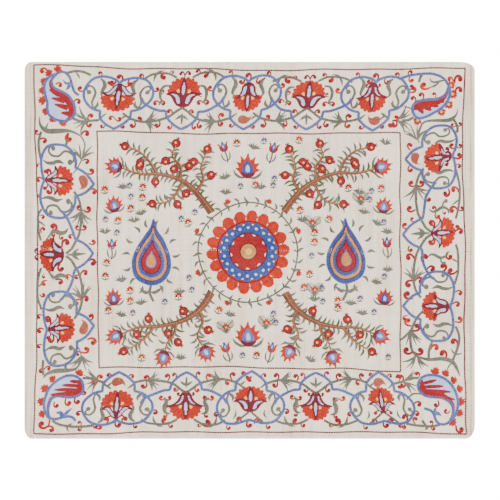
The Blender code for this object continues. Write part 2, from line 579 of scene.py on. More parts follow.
def fill(spot, outline, thread, angle=90, level=0, smooth=True, step=None):
    # laid threads across a shape, worked in short lengths like bricks
    step = step or stitch["laidStep"]
    shape = spot.lay(outline)
    if smooth:
        shape = smoothLine(shape, True)
    heading = spot.heading(angle)
    along = np.array([math.cos(heading), math.sin(heading)])
    across = np.array([-along[1], along[0]])
    a, b = shape @ along, shape @ across
    nextA, nextB = np.roll(a, -1), np.roll(b, -1)
    starts, ends = [], []
    for number, place in enumerate(np.arange(b.min() + step * 0.5, b.max(), step)):
        crossed = (b <= place) != (nextB <= place)
        share = (place - b[crossed]) / (nextB[crossed] - b[crossed])
        cuts = np.sort(a[crossed] + share * (nextA[crossed] - a[crossed]))
        for low, high in zip(cuts[::2], cuts[1::2]):
            if high - low < stitch["laidLeast"]:
                continue
            first = low + stitch["laidLong"] * (0.35 + (number % 3) / 3)
            marks = np.arange(first, high - 1.8, stitch["laidLong"])
            marks = np.concatenate([[low + stitch["laidInset"]], marks, [high - stitch["laidInset"]]])
            starts += [along * m + across * place for m in marks[:-1] - stitch["laidLap"]]
            ends += [along * m + across * place for m in marks[1:] + stitch["laidLap"]]
    if starts:
        tone = dyeTones(len(starts))
        wide = step * stitch["laidWide"]
        addStitches(thread, np.array(starts), np.array(ends), wide, stitch["laidHigh"], level, tone)


def satin(spot, points, widths, thread, slant=72, level=0):
    # stitches laid side by side across a tapering line
    line = evenLine(smoothLine(spot.lay(points)), stitch["satinStep"])
    marks = np.linspace(0, 1, len(line))
    wide = np.interp(marks, np.linspace(0, 1, len(widths)), widths) * spot.size
    angle = math.radians(slant - 90)
    out = normals(line)
    turned = out @ np.array([[math.cos(angle), math.sin(angle)], [-math.sin(angle), math.cos(angle)]])
    reach = turned * (wide / 2)[:, None]
    high = np.clip(0.35 + wide * 0.08, *stitch["satinHigh"])
    step = stitch["satinStep"] * stitch["laidWide"]
    addStitches(thread, line - reach, line + reach, step, high, level, dyeTones(len(line)))


def straight(spot, starts, ends, thread, wide=2.0, level=0):
    # single long stitches, as for blades of grass
    starts, ends = spot.lay(starts), spot.lay(ends)
    tone = dyeTones(len(starts))
    addStitches(thread, starts, ends, wide * spot.size, stitch["laidHigh"], level, tone)


def disc(spot, x, y, radius, thread, level=0, angle=60):
    turns = np.linspace(0, math.tau, 12, endpoint=False)
    fill(spot, np.stack([x + radius * np.cos(turns), y + radius * np.sin(turns)], 1),
         thread, angle, level, step=1.6)


# Small parts that the whole border shares

def hook(spot):
    # a red comma: a tail that turns over into a round end, darker in its eye
    thread = "red" if rng.random() < 0.8 else "vermilion"
    satin(spot, [(0, 0), (2.4, 6.4), (1.3, 12.4), (-4.2, 15.4), (-8, 12.2)],
          [3.8, 4.6, 5.4, 6.2, 5.6], thread)
    disc(spot, -6.4, 10.6, 4.5, thread)
    disc(spot, -6.9, 10.0, 2.1, "maroon", 1)


def tuft(spot, long=29, leans=(16, 38, 58), thread="green"):
    # a fan of tapered blades on each side of its stem, which runs along +v
    for side in bothSides(spot):
        for lean in leans:
            angle = math.radians(lean + rng.normal(0, 4))
            reach = long * rng.uniform(0.82, 1.05)
            middle = (1.5 + 0.5 * reach * math.sin(angle * 0.82), 0.5 * reach * math.cos(angle * 0.82))
            tip = (1.5 + reach * math.sin(angle), reach * math.cos(angle))
            wide = 6.6 if lean == leans[-1] else 4.8
            satin(side, [(1.4, -1), middle, tip], [3.2, wide, 1.8], thread, 80)


def vine(spot, points, wide=3.2):
    chain(spot, points, "green", 2, wide)


def cord(spot, points, level=2):
    # the broad blue line of the hearts, brackets and paisleys
    chain(spot, points, "blue", 2, 3.3, level)


def curl(spot):
    # the green scroll inside each loop, with a bud at one end and a leaf at the other
    satin(spot, [(66, 22), (71, 30), (64, 36), (55, 31), (50, 19), (53, 7), (56, -4), (52, -17)],
          [4.2, 4.8, 5, 5.6, 6.4, 6.0, 5.4, 4.2], "green", 84)
    disc(spot, 65, 21, 5.2, "green")
    satin(spot, [(52, -18), (46, -15), (42, -9), (43, -1)], [4, 7.8, 7.4, 2.0], "green")


def swoosh(spot):
    satin(spot, [(40, 53), (33, 47), (30, 37), (34, 26), (36, 16), (31, 9)],
          [4, 9, 11, 9.6, 7.2, 2.4], "green")


def blossom(spot, eye="red"):
    # a small red flower of five ragged petals with its foot at the origin
    fill(spot, [(-2.4, -1), (-7.4, 2), (-8.2, 6.4), (-4.4, 6.2), (-4.6, 11), (-1.4, 9.4), (0.6, 12.6),
                (2.8, 9), (6.4, 10), (5, 5.8), (8.4, 4.4), (6.6, 0.4), (2.4, -1)], "vermilion", 84,
         smooth=False, step=1.35)
    if eye == "yellow":
        disc(spot, 0, 2.6, 2.4, eye, 1)
    else:
        straight(spot, [(-2, 1), (0, 0), (2, 1)], [(-3.4, 6.4), (0, 7.4), (3.6, 6)], eye, 1.5, 1)


def comma(spot):
    # the rose-brown paisley in the tip of a heart
    fill(spot, [(-15, 8), (-11, 3), (-5, 4), (2, 8), (9, 8.5), (14, 4), (14, -3), (9, -8), (2, -9.5),
                (-6, -7.5), (-12, -1)], "rose", 24)


fan = {
    "foot": (4, 34),
    "petals": 5,
    "firstTurn": -6,
    "petalTurn": 20.5,
    "reach": 37,
    "scallop": 0.14,         # how deep the notches between petals are, and how much each petal
    "shorter": 0.012,        # is shorter than the one before, both in reaches
    "markEach": 10,
}


def lobes(spot):
    # two scalloped fans of petals that open from a yellow throat
    marks = np.linspace(0, fan["petals"], fan["petals"] * fan["markEach"] + 1)
    lean = np.radians(fan["firstTurn"] + fan["petalTurn"] * marks)
    notched = 1 - fan["scallop"] + fan["scallop"] * np.abs(np.sin(np.pi * marks)) ** 0.7
    reach = fan["reach"] * notched * (1 - fan["shorter"] * marks)
    rim = np.stack([reach * np.sin(lean), reach * np.cos(lean)], 1) + fan["foot"]
    for flip in (False, True):
        side = Spot(flip=flip, turn=rng.normal(0, 1.5), inside=spot)
        fill(side, np.vstack([[(0, 28)], rim, [(10, 26)]]), "vermilion", 62, smooth=False)
        for k in range(1, fan["petals"]):
            crease = Spot(*fan["foot"], -fan["firstTurn"] - fan["petalTurn"] * k, inside=side)
            straight(crease, [(0, 12), (0, 20)], [(0, 21), (0, 31)], "red", 1.5, 1)
        fill(side, [(9, 34), (13, 33), (17, 37.5), (12, 41)], "yellow", 30, 1)


# Half outlines of the flowers' maroon cups and of their pale slots, foot at the origin
calyxes = {
    "tulip": {
        "wall": [(0, 0), (9, 0), (15, 3), (21, 11), (26, 20), (31, 25), (40, 28), (31, 34), (21, 35),
                 (12, 32), (5, 28), (0, 26)],
        "slot": [(7, 8), (11, 7), (14, 11), (16.5, 19), (22, 25.5), (28, 28.5), (20, 29),
                 (12.5, 25.5), (7.8, 17)],
        "petal": (25, 69),
    },
    "hood": {
        "wall": [(0, -2), (7, -1), (12, 5), (16, 15), (22, 24), (31, 30), (44, 34), (30, 37),
                 (20, 34), (12, 32), (5, 28), (0, 26)],
        "slot": [(5.2, 9), (7.6, 9), (10, 16), (15, 25), (22, 30), (14, 28), (8, 21), (5.6, 14)],
        "petal": (22, 70),
    },
    "closed": {
        "wall": [(0, 0), (6, -1), (13, 3), (18, 11), (20, 22), (25, 31), (33, 38), (22, 38),
                 (14, 34), (8, 29), (4, 28), (0, 30)],
        "slot": [(5, 9), (9, 7), (13, 12), (15.4, 22), (19.5, 31), (12, 28), (7, 21)],
        "petal": (27, 72),
    },
    "scroll": {
        "wall": [(0, -1), (7, -1), (13, 4), (14, 11), (12, 15), (18, 18), (26, 21), (37, 29),
                 (27, 31), (19, 28), (13, 25), (6, 26), (0, 27)],
        "slot": [(4.5, 6), (8, 7), (9, 14), (16, 20.5), (22, 24.5), (13, 23), (6.5, 17)],
        "petal": (20, 70),
    },
    "open": {
        "wall": [(0, -1), (6, 0), (13, 6), (19, 15), (26, 21), (38, 21), (29, 29), (20, 30),
                 (13, 25), (8, 18), (4, 20), (0, 22)],
        "slot": [(5, 4), (10, 7), (15, 14), (21, 21), (27, 24.5), (19, 26), (13, 20), (8, 13)],
        "petal": (14, 66),
    },
}


def flower(spot, kind, crowned=False):
    shape = calyxes[kind]
    lobes(spot)
    for side in bothSides(spot):
        fill(side, shape["wall"], "maroon", 82, 1)
        fill(side, shape["slot"], "paleBlue", 76, 2)
        if kind == "open":
            satin(side, [(3, 2), (10, 5), (17, 4), (22, -1)], [2.6, 3.2, 3.8, 5], "red", 84, 1)
            disc(side, 22, -2, 4.6, "red", 1)
        if kind == "scroll":
            satin(side, [(12, 9), (18, 6), (23, 9), (21, 14)], [3, 4, 4.6, 4.6], "maroon", 84, 1)
            disc(side, 21, 10, 4.2, "maroon", 1)
        if kind == "hood":
            hook(Spot(9, 3, -62, True, 0.7, 0.7, inside=side))
        if crowned:
            satin(side, [(1, 76), (4, 82), (8, 83), (11, 79)], [2.4, 3.4, 4.6, 5.6], "maroon", 84, 1)
            disc(side, 10.5, 78, 3.2, "maroon", 1)
    start, end = shape["petal"]
    petal = twin([(-4, start), (-8, start + 12), (-6.6, start + 26), (0, end)])
    fill(spot, petal, "maroon", 90, 2)
    slot = twin([(-1.5, start + 4), (-3.3, start + 13), (-2.4, start + 25), (0, end - 11)])
    fill(spot, slot, "paleBlue", 90, 3)
    if crowned:
        chain(spot, [(0, end - 3), (0, 77)], "maroon", wide=2.6, level=2)


# Border: a flower in a blue heart and a flower in an open bracket by turns

heartHalf = (
    [(0, 45), (9, 53), (33, 59), (59, 52), (76, 27), (76, 6), (65, -10), (52, -20), (35, -25)],
    [(35, -25), (35, -35), (33, -45)],
    [(33, -45), (19, -59), (0, -71)],
)
# The lower side's hearts have flatter loops
lowLoop = [(0, 47), (14, 51), (34, 55.5), (59, 50), (76, 27), (76, 6), (65, -10), (52, -20),
           (35, -25)]
slimHeartHalf = (
    [(0, 45), (19, 51.6), (42, 54), (60, 48), (73, 36), (76.5, 14), (73, -5), (60, -20),
     (44, -27.5), (29, -28)],
    [(29, -28), (27, -37), (18, -54), (0, -71)],
)
# Red hooks: along, out, turn, and size, which is below 0 for a mirrored one
hooksOfHeart = (
    (-42, 59, 0, 0.72), (2, 49, 0, 1.02), (50, 57, 8, 0.75), (-13, 56, 176, -0.95),
    (21, 54, 184, 0.9), (-77, 24, 84, -0.9), (74, 29, -95, 0.85), (-59, -47, 0, -0.95),
    (-59, -49, 180, 0.95), (46, -49, -75, 0.9), (45, -50, 184, -0.95), (-20, -59, 140, -0.75),
    (16, -58, 190, 0.75),
)
hooksOfBracket = (
    (-40, 65, -50, -0.62), (-40, 65, 100, 1.25), (37, 62, 20, 0.75), (38, 62, -90, -1.1),
    (-52, 13, -40, 0.6), (46, 8, 50, -0.6), (-56, -6, 74, 0.85), (-56, -6, -70, -0.85),
    (50, -7, 70, 0.85), (50, -7, -70, -0.85), (-24, -33, 10, 0.85), (19, -33, -14, -0.85),
    (-52, -49, 190, -0.95), (45, -49, 172, 0.95), (-23, -57, 170, -0.8), (27, -55, 190, 0.8),
)


def hooks(spot, rows, stray=True):
    for u, v, turn, size in rows:
        du, dv, more = rng.normal(0, 1, 3) * (1.0, 0.8, 8) if stray else (0, 0, 0)
        hook(Spot(u + du, v + dv, turn + more, size < 0, abs(size), abs(size), inside=spot))


def loose(spot, flip):
    # one half of a motif, a little off the true mirror image of the other
    dx, dy, turn = rng.normal(0, 0.9, 3)
    return Spot(dx, dy, turn, flip, rng.uniform(0.97, 1.03), 1, inside=spot)


def slimCurl(spot):
    satin(spot, [(66, 29), (70, 35), (61, 38), (53, 31), (52, 15), (62, 3), (62, -8), (55, -19),
                 (45, -21), (40, -15)], [3, 4.6, 5, 5.6, 5.6, 5.6, 5.6, 5, 5, 5.4], "green", 84)
    disc(spot, 67, 28, 4.8, "green")
    disc(spot, 41, -13, 5.8, "green")
    satin(spot, [(41, 50), (37, 41), (37, 28), (41, 15), (37, 1)], [3, 7.4, 9.6, 8.4, 2], "green")


# Each form of heart: its half outline, and its flower's foot and height
heartForms = {
    "heart": (heartHalf, 42, 0.98),
    "low": ((lowLoop, *heartHalf[1:]), 26, 0.87),
    "slim": (slimHeartHalf, 41, 0.94),
}


def heartUnit(spot, form, kind, size, tip):
    half, foot, tall = heartForms[form]
    aside = -6 if kind == "hood" else 1
    flower(Spot(aside, foot, 180, rng.random() < 0.5, size, tall, inside=spot), kind)
    for flip in (False, True):
        for run in half:
            cord(Spot(flip=flip, inside=spot), run)
        side = loose(spot, flip)
        if form == "slim":
            slimCurl(side)
            continue
        curl(side)
        if form == "low":
            vine(side, [(3, 27), (16, 38), (33, 52)], 2.6)
            satin(side, [(40, 43), (34, 33), (34, 23)], [2, 5.4, 2], "green")
        else:
            swoosh(side)
    if form != "slim":
        vine(spot, [(34, -45), (26, -37), (17, -31)], 2.7)
        satin(spot, [(28, -38), (21, -40), (14, -47)], [3.2, 6, 2], "green")
        satin(spot, [(-34, -45), (-27, -37), (-20, -32)], [4.4, 5.6, 2.6], "green")
        hooks(spot, hooksOfHeart)
    if tip == "comma":
        flip = rng.random() < 0.5
        comma(Spot(0, -46, rng.normal(0, 12), flip, 1.05, 1.2, inside=spot))
    elif tip == "hooks":
        hooks(spot, ((1, -45, 62, 0.85), (1, -45, 242, 0.85)), stray=False)
    elif tip == "cap":
        hooks(spot, ((0, -58, -48, 0.8), (0, -58, -48, -0.8)), stray=False)


def bracketUnit(spot, kind, size, arms, sink):
    # sink: how much nearer the middle of the band its outer stems lie
    tall = 1 - sink / 160
    foot = -15 - sink / 2
    flower(Spot(0, foot, 0, rng.random() < 0.5, size, tall, inside=spot), kind, kind == "tulip")
    for flip, (reach, loop) in zip((True, False), arms):
        side = Spot(flip=flip, inside=spot)
        # the blue strand, on into the loop of the next heart
        cord(side, [(0, -69), (17, -60), (32, -47), (38, -36)])
        cord(side, [(38, -36), (40, -27), (53, -26), (68, -21), (reach - 65 * loop, -10),
                    (reach - 58 * loop, -2), (reach - 54 * loop, 6)])
        # the inner stem with its grass, and the outer stem with its leaf
        vine(side, [(0, -18), (14, -27), (33, -41), (60, -49), (reach - 66, -51),
                    (reach - 35 * loop, -44)])
        tuft(Spot(reach - 74, -50.5, 86 + rng.normal(0, 4), inside=side))
        outer = Spot(0, -sink, inside=side)
        vine(outer, [(reach - 56 * loop, 54), (reach - 75, 62), (65, 65), (42, 64), (29, 59),
                     (20, 54)], 2.9)
        satin(outer, [(66, 65), (73, 58), (76, 46)], [3.6, 7, 2.4], "green")
        satin(outer, [(72, 64), (62, 69), (52, 71)], [3.4, 5.6, 2], "green")
        slack = loose(spot, flip)
        if kind == "tulip":
            satin(slack, [(36, 33), (48, 31), (55, 19), (54, 4), (50, -4), (55, -13)],
                  [4, 6.6, 8.2, 7.2, 5.4, 3.4], "green", 84)
        else:
            satin(slack, [(37, 32), (48, 28), (50, 15), (46, 3), (52, -9)],
                  [3, 9, 12.5, 10, 2.4], "green")
            hook(Spot(50, 28, 30, True, 0.75, 0.75, inside=slack))
        # side leaf of the sprout in the tip
        satin(side, [(0, -35), (8, -41), (15, -46)], [3.4, 7.6, 2], "green")
    satin(spot, [(0, -31), (0, -42), (0, -56)], [3, 7, 4.2], "green")
    hooks(Spot(0, -sink, inside=spot), hooksOfBracket[:4])
    hooks(spot, hooksOfBracket[4:])


def slimBracketUnit(spot, kind, size, arms, stems):
    foot = 3 if kind == "tulip" else -2
    flower(Spot(0, foot, 0, rng.random() < 0.5, size, 0.81, inside=spot), kind, kind == "tulip")
    for flip, (reach, loop), stem in zip((True, False), arms, stems):
        side = Spot(flip=flip, inside=spot)
        cord(side, [(0, -70), (15, -58), (25, -46), (32, -33)])
        cord(side, [(32, -33), (35, -27), (42, -24.5), (reach - 100 * loop, -20.5),
                    (reach - 86 * loop, -14), (reach - 75 * loop, -7), (reach - 66 * loop, 1),
                    (reach - 61 * loop, 6)])
        vine(side, [(3, -3), (13, -16), (28, -26), (44, -36), (58, -40), (76, -43),
                    (reach - 69, -43), (reach - 52, -40), (reach - 40, -36), (reach - 24, -26)])
        tuft(Spot(reach - 69, -43, 88 + rng.normal(0, 4), inside=side), 36)
        last = reach - stem * loop
        vine(side, [(31, 56), (50, 61), (75, 64), ((75 + last) / 2, 64.5), (last, 57)], 2.9)
        satin(side, [(75, 63), (69, 54), (64, 46)], [3, 5.6, 2], "green")
        slack = loose(spot, flip)
        if kind == "tulip":
            satin(slack, [(36, 40), (47, 31), (54, 23), (48, 11), (50, -2), (58, -10)],
                  [3.4, 5.6, 10, 12, 9, 3], "green", 84)
        else:
            satin(slack, [(44, 39), (54, 35), (59, 22), (52, 8), (50, -2), (56, -10)],
                  [3.4, 6, 8, 7.6, 6, 2.4], "green", 84)
            satin(slack, [(58, 22), (66, 23), (73, 27)], [4, 4.6, 4], "green", 84)
            disc(slack, 73, 31, 4.6, "green")
        satin(side, [(0, -18), (7, -26), (13, -35)], [5.6, 8, 2], "green")
    satin(spot, [(0, -8), (0, -27), (0, -51)], [4, 10, 2.4], "green")


# Each side, by the turn of the way that is out of it, and its units in order along it. A unit: its
# form, its place along the side, its distance from the middle of the cloth, its stretch, height
# and lean, then its flower and that flower's width. Last comes a heart's tip, or how far inwards
# a bracket's outer stems lie, or how far before its neighbours' middles a slim bracket's stems end
borderSides = {
    0: (
        ("heart", -317, 359, 1.07, 0.97, 0.10, "open", 1.03, "hooks"),
        ("bracket", -160, 359, 1.0, 1.0, 0.10, "tulip", 1.04, 0),
        ("heart", -6, 359, 1.03, 1.0, 0.10, "closed", 0.86, "comma"),
        ("bracket", 141, 357, 1.0, 0.98, 0.08, "tulip", 1.04, 8),
        ("heart", 300, 359, 1.05, 1.0, 0.10, "hood", 0.86, "comma"),
    ),
    -90: (
        ("slim", -223, 442, 0.99, 0.99, -0.07, "scroll", 0.94, "comma"),
        ("slimBracket", -42.5, 438, 1.0, 0.98, -0.09, "open", 0.97, (38, 47)),
        ("slim", 136, 436.5, 1.08, 0.99, 0.0, "closed", 0.86, ""),
    ),
    180: (
        ("low", -317, 361, 0.98, 0.99, -0.12, "open", 0.86, "comma"),
        ("bracket", -160, 361, 1.0, 0.99, 0.0, "hood", 0.94, 8),
        ("low", -3, 361, 1.03, 0.99, 0.05, "tulip", 0.95, "cap"),
        ("bracket", 152, 361, 1.0, 0.99, 0.04, "hood", 1.04, 8),
        ("heart", 317, 361, 1.10, 0.95, 0.07, "open", 0.96, "comma"),
    ),
    90: (
        ("slim", -188, 441, 1.15, 0.98, -0.09, "open", 0.80, "comma"),
        ("slimBracket", -8.5, 443, 1.05, 0.98, 0.0, "tulip", 1.02, (40, 58)),
        ("slim", 164.5, 447, 1.15, 1.03, 0.06, "open", 0.82, "comma"),
    ),
}

# The red hooks of the left and right sides, on the cloth's own x and y
sideHooks = (
    (-472, 43, -14, 1.25), (-472, 43, 190, -0.65), (-455, 40, 180, 0.75), (-420.5, 36, 90, 0.8),
    (-387, 17, -90, 0.95), (-404.5, 51, 90, -0.8), (-404.5, 51, -90, 0.9), (-400, 97, 90, -0.9),
    (-399, 97, -90, 1.1), (-401, 216, -90, -0.9), (-388, 183, -80, 1.0), (-385, 143, -90, -1.05),
    (-478, 178, 10, 1.1), (-478, 153.5, 180, -1.05), (-502, 207, 90, 0.6), (-495, 171.5, 80, 0.95),
    (-502, 132, 90, 0.55), (-503, 82, -90, -0.7), (-500, 42, -10, -0.8), (-449, 10, -15, -1.25),
    (-454, -31, 185, 1.1), (-405, 277, -60, -1.1), (-436.5, 281, 185, 1.15), (-500, 266, -90, -0.95),
    (-389, -25, -90, -1.2), (-403.6, -58, -50, -1.0), (-405, -61, 100, 0.8), (-426, -63, 80, 0.85),
    (-463, -73, -100, -1.0), (-484, -72, 130, 0.9), (-490, -58, 160, 0.6), (-502, -105, -120, 0.8),
    (-405.6, -118, 95, 0.95), (-405, -119, -60, -1.1), (-382, -168, -40, 0.95), (-499, -158, 90, 0.8),
    (-475, -176, 20, 1.1), (-494, -190, 85, 0.95), (-470, -204, 175, -1.1), (-499, -226, 90, 0.7),
    (-389, -212, -80, -1.25), (-404.6, -243, 95, 0.8), (-403, -243, -90, 1.15), (383, 241, 20, -0.95),
    (495, 246, 90, -0.95), (497, 246, -90, 0.75), (490, 222, -90, 1.1), (495, 201, -90, -0.75),
    (382, 203, 170, 0.9), (397, 155.5, 90, -1.05), (398, 155.5, -90, 1.1), (425.5, 132, 180, 1.0),
    (476, 147.5, 180, -1.15), (502, 137.5, 25, 1.1), (441.5, 93, 0, 0.8), (445.5, 91, 190, 0.9),
    (461, 97, 190, 0.6), (500, 96, 70, 1.2), (501, 96, -100, 0.8), (397.5, 96, 100, -1.1),
    (393.5, 68, 60, -0.7), (378, 50, 45, -0.9), (442.5, 58, 10, 1.0), (441.5, 32, 175, -1.1),
    (491, 48, -50, 0.9), (491, 45, -70, -1.1), (385.5, 11, 170, 0.85), (395.5, -21, 40, 1.2),
    (415.5, -29, -10, -1.2), (425.5, -47, -50, -1.15), (469, -5, 190, 1.05), (461, -53, -40, 1.25),
    (497.5, -50, 110, -1.2), (394.5, -73, 90, 1.25), (395, -73, -70, -1.2), (391, -114.5, 70, -1.35),
    (375, -154, 130, 0.8), (387.5, -182, 70, -1.2), (390.5, -192, -80, 1.2), (495, -100.5, -80, -0.9),
    (488, -127, -60, -0.95), (495, -169, -90, 1.05), (496, -230, 10, 1.2), (432.5, -236, -60, -1.15),
    (468, -258, -6, 1.25), (390.5, -241, 100, -1.25), (394.5, -243, -95, 1.25),
)


def workBorder():
    brackets = {"bracket": bracketUnit, "slimBracket": slimBracketUnit}
    for turn, units in borderSides.items():
        plain = Spot(turn=turn)
        for number, (form, place, at, wide, tall, lean, kind, size, last) in enumerate(units):
            x, y = plain.lay([(place, at)])[0] + rng.normal(0, 0.7, 2)
            spot = Spot(x, y, turn + rng.normal(0, 0.7), False, wide, tall, lean)
            if form in brackets:
                arms = [(abs(units[k][1] - place) / wide, units[k][3] / wide)
                        for k in (number - 1, number + 1)]
                brackets[form](spot, kind, size, arms, last)
            else:
                heartUnit(spot, form, kind, size, last)
    hooks(Spot(), sideHooks)


# Corners: a paisley with blossoms along its back

paisleys = {
    # Spine and half widths from the round end to the tip. The red body's depth towards the back,
    # in half widths, at these shares of the spine. Then the widths of its fingers and the
    # blossoms' eyes, the line that curls on, the leaves on it after their widths, the fingers
    # from root to end, and the middles of the blossoms
    "topLeft": {
        "at": (-451, 338), "back": 1,
        "spine": [(3, -28.5), (1.2, -9.6), (-4.2, 6), (-13, 21.6), (-25, 37.2), (-31.4, 51.6),
                  (-30.4, 65.9), (-23, 76.3), (-12.9, 83.4)],
        "half": [28, 30.5, 33, 29.5, 20, 12.5, 8.4, 4.4, 0.8],
        "depth": ((0, 0.25, 0.5, 0.75, 1), (0.55, 0.5, 0.3, 0.25, 0.2)),
        "fingerWidths": [13, 10.5, 4], "eye": "red",
        "curl": [(-12.9, 83.4), (-2.5, 88.6), (10.5, 86.7), (20.9, 75), (24.8, 59.4), (30, 42.4),
                 (40.4, 34.6)],
        "leaves": ((5, (19.6, 62), (10.5, 61.3), (4, 69.1)),
                   (7, (19.6, 58), (15.7, 51.6), (10.5, 46.3))),
        "fingers": (((-7.7, 33.3), (-28.6, 45)), ((5.3, 19), (-23.4, 24.9)),
                    ((13.1, 3.4), (-16.8, 9.9)), ((22.2, -10.9), (-1.2, -8.9))),
        "blossoms": ((-7, 97), (-32, 89), (-44, 67), (-48, 42.5), (-48, 17), (-41, -7), (-22, -26),
                     (5, -35)),
    },
    "topRight": {
        "at": (407, 340), "back": -1,
        "spine": [(-16.7, -5.7), (3.1, -2.5), (22.6, 3), (39.5, 7.9), (52.5, 15.1), (62.9, 26.1),
                  (68.1, 37.8), (70.1, 52.2)],
        "half": [20, 20.5, 19.5, 16, 12, 7.5, 4, 0.8],
        "depth": ((0, 0.25, 0.5, 0.75, 1), (0.1, -0.05, -0.1, 0, 0.3)),
        "fingerWidths": [16, 13, 5], "eye": "yellow",
        "curl": [(70.1, 52.2), (61.6, 66.5), (48.6, 75.6), (29, 81.4), (3.1, 82.1), (-23, 79.5),
                 (-47.7, 71.7)],
        "leaves": (),
        "fingers": (((-1, 4), (8.3, -11)), ((13, 6), (27.1, -4.5)), ((30, 11), (43, 3.8)),
                    ((46, 20), (56.4, 15))),
        "blossoms": ((77, 59), (82, 34.5), (72.5, 8.2), (54.5, -11.2), (-4.7, -32.4)),
    },
    "bottomLeft": {
        "at": (-423, -327), "back": -1,
        "spine": [(23.5, 5.4), (3.3, 0.9), (-20.1, -2), (-40.9, -8.2), (-55.3, -20), (-62.4, -35.6),
                  (-64.4, -52.5), (-60.5, -68.1), (-54.6, -75.9)],
        "half": [24, 25.5, 27, 22, 14, 7.5, 6, 3.5, 0.8],
        "depth": ((0, 0.06, 0.13, 0.5, 1), (-0.75, -0.65, 0.45, 0.5, 0.2)),
        "fingerWidths": [6.5, 8.2, 8.6, 7.8, 3], "eye": "red",
        "curl": [(-54.6, -75.9), (-40.9, -77.9), (-25.3, -73.9), (-9.7, -72), (0.7, -75.9),
                 (5.9, -82.4)],
        "leaves": ((8.5, (-25.3, -70.7), (-30.5, -62.9), (-40.9, -62.9)),
                   (7, (-22.7, -70.7), (-13.6, -61.6), (-4.5, -53.8))),
        "fingers": (((17, 9.5), (-8, 12)), ((15, 0), (-26, 3)),
                    ((11, -9.5), (-44, -7.5)), ((4, -18.5), (-54, -18.5))),
        "blossoms": ((16.3, 34.6), (-50.1, 22.3), (-69.6, -1.7), (-78.7, -35.6),
                     (-76.7, -66.8)),
    },
    "bottomRight": {
        "at": (432, -323), "back": 1,
        "spine": [(-26.9, 2.1), (-3.7, -0.5), (17.1, -4.4), (35.3, -13.5), (49.6, -27.9),
                  (58.1, -43.5), (60.3, -60.4), (56.8, -74.7), (50.9, -84.5)],
        "half": [25, 26, 27, 24, 18, 11.5, 6.5, 3.6, 0.8],
        "depth": ((0, 0.06, 0.13, 0.5, 1), (-0.75, -0.65, 0.35, 0.4, 0.2)),
        "fingerWidths": [6.5, 8.4, 8.4, 7.6, 3.4], "eye": "red",
        "curl": [(50.9, -84.5), (40.5, -92.3), (24.9, -92.3), (15.8, -83.8), (10.6, -70.8),
                 (2.8, -61.7), (-12.8, -56.5)],
        "leaves": ((8, (11.9, -68.2), (13.2, -60.4), (14.5, -53.9)),
                   (8, (13.2, -69.5), (19.7, -68.2), (27.5, -73.4))),
        "fingers": (((-15, 5), (15, 12)), ((-12, -3.5), (31, -3.5)),
                    ((-7, -12.5), (48, -18)), ((6, -22.5), (57, -36))),
        "blossoms": ((11.9, 36.5), (37.9, 29.4), (56.8, 13.1), (71.7, -9.6), (75.6, -40.9),
                     (73.7, -68.2), (58.1, -90.3)),
    },
}
paisleyLook = {
    "blunt": 0.17,           # the share of the spine over which the end is rounded
    "body": (0.025, 0.95),   # the share of the spine that the red body fills
    "front": 0.93,           # how far it reaches to the front, in half widths
    "blossomSize": (1.2, 1.4),
    "blossomFoot": 6,
}


def paisley(spec):
    spot = Spot(*spec["at"])
    spine = evenLine(smoothLine(spec["spine"]), 1.5)
    marks = np.linspace(0, 1, len(spine))
    half = np.interp(marks, np.linspace(0, 1, len(spec["half"])), spec["half"])
    blunt = np.clip(marks / paisleyLook["blunt"], 0, 1)
    half *= np.sqrt(1 - (1 - blunt) ** 2)
    out = normals(spine) * spec["back"]
    back = spine + out * half[:, None]
    front = spine - out * half[:, None]
    # pale cloth of stitches over the body, then the red along its front with fingers to the back
    fill(spot, np.vstack([back, front[::-1]]), "paleBlue", 78, smooth=False)
    first, last = paisleyLook["body"]
    body = (marks > first) & (marks < last)
    depth = np.interp(marks, *spec["depth"])
    edge = spine - out * (half * depth)[:, None]
    inner = spine - out * (half * paisleyLook["front"])[:, None]
    fill(spot, np.vstack([edge[body], inner[body][::-1]]), "red", 40, 2, smooth=False)
    for root, end in spec["fingers"]:
        satin(spot, [root, end], spec["fingerWidths"], "red", 84, 2)
    cord(spot, np.vstack([front[::-1], back])[::3], 2.5)
    cord(spot, spec["curl"])
    for wide, *leaf in spec["leaves"]:
        satin(spot, leaf, [wide * 1.25, wide * 1.1, 2], "blue", 60, 2)
    # blossoms stand on the back, feet towards it
    for middle in np.array(spec["blossoms"]):
        foot = back[np.argmin(np.linalg.norm(back - middle, axis=1))]
        way = (middle - foot) / np.linalg.norm(middle - foot)
        turn = facing(way) + rng.normal(0, 9)
        size = rng.uniform(*paisleyLook["blossomSize"])
        foot = middle - way * paisleyLook["blossomFoot"] * size
        blossom(Spot(*foot, turn, False, size, size, inside=spot), spec["eye"])


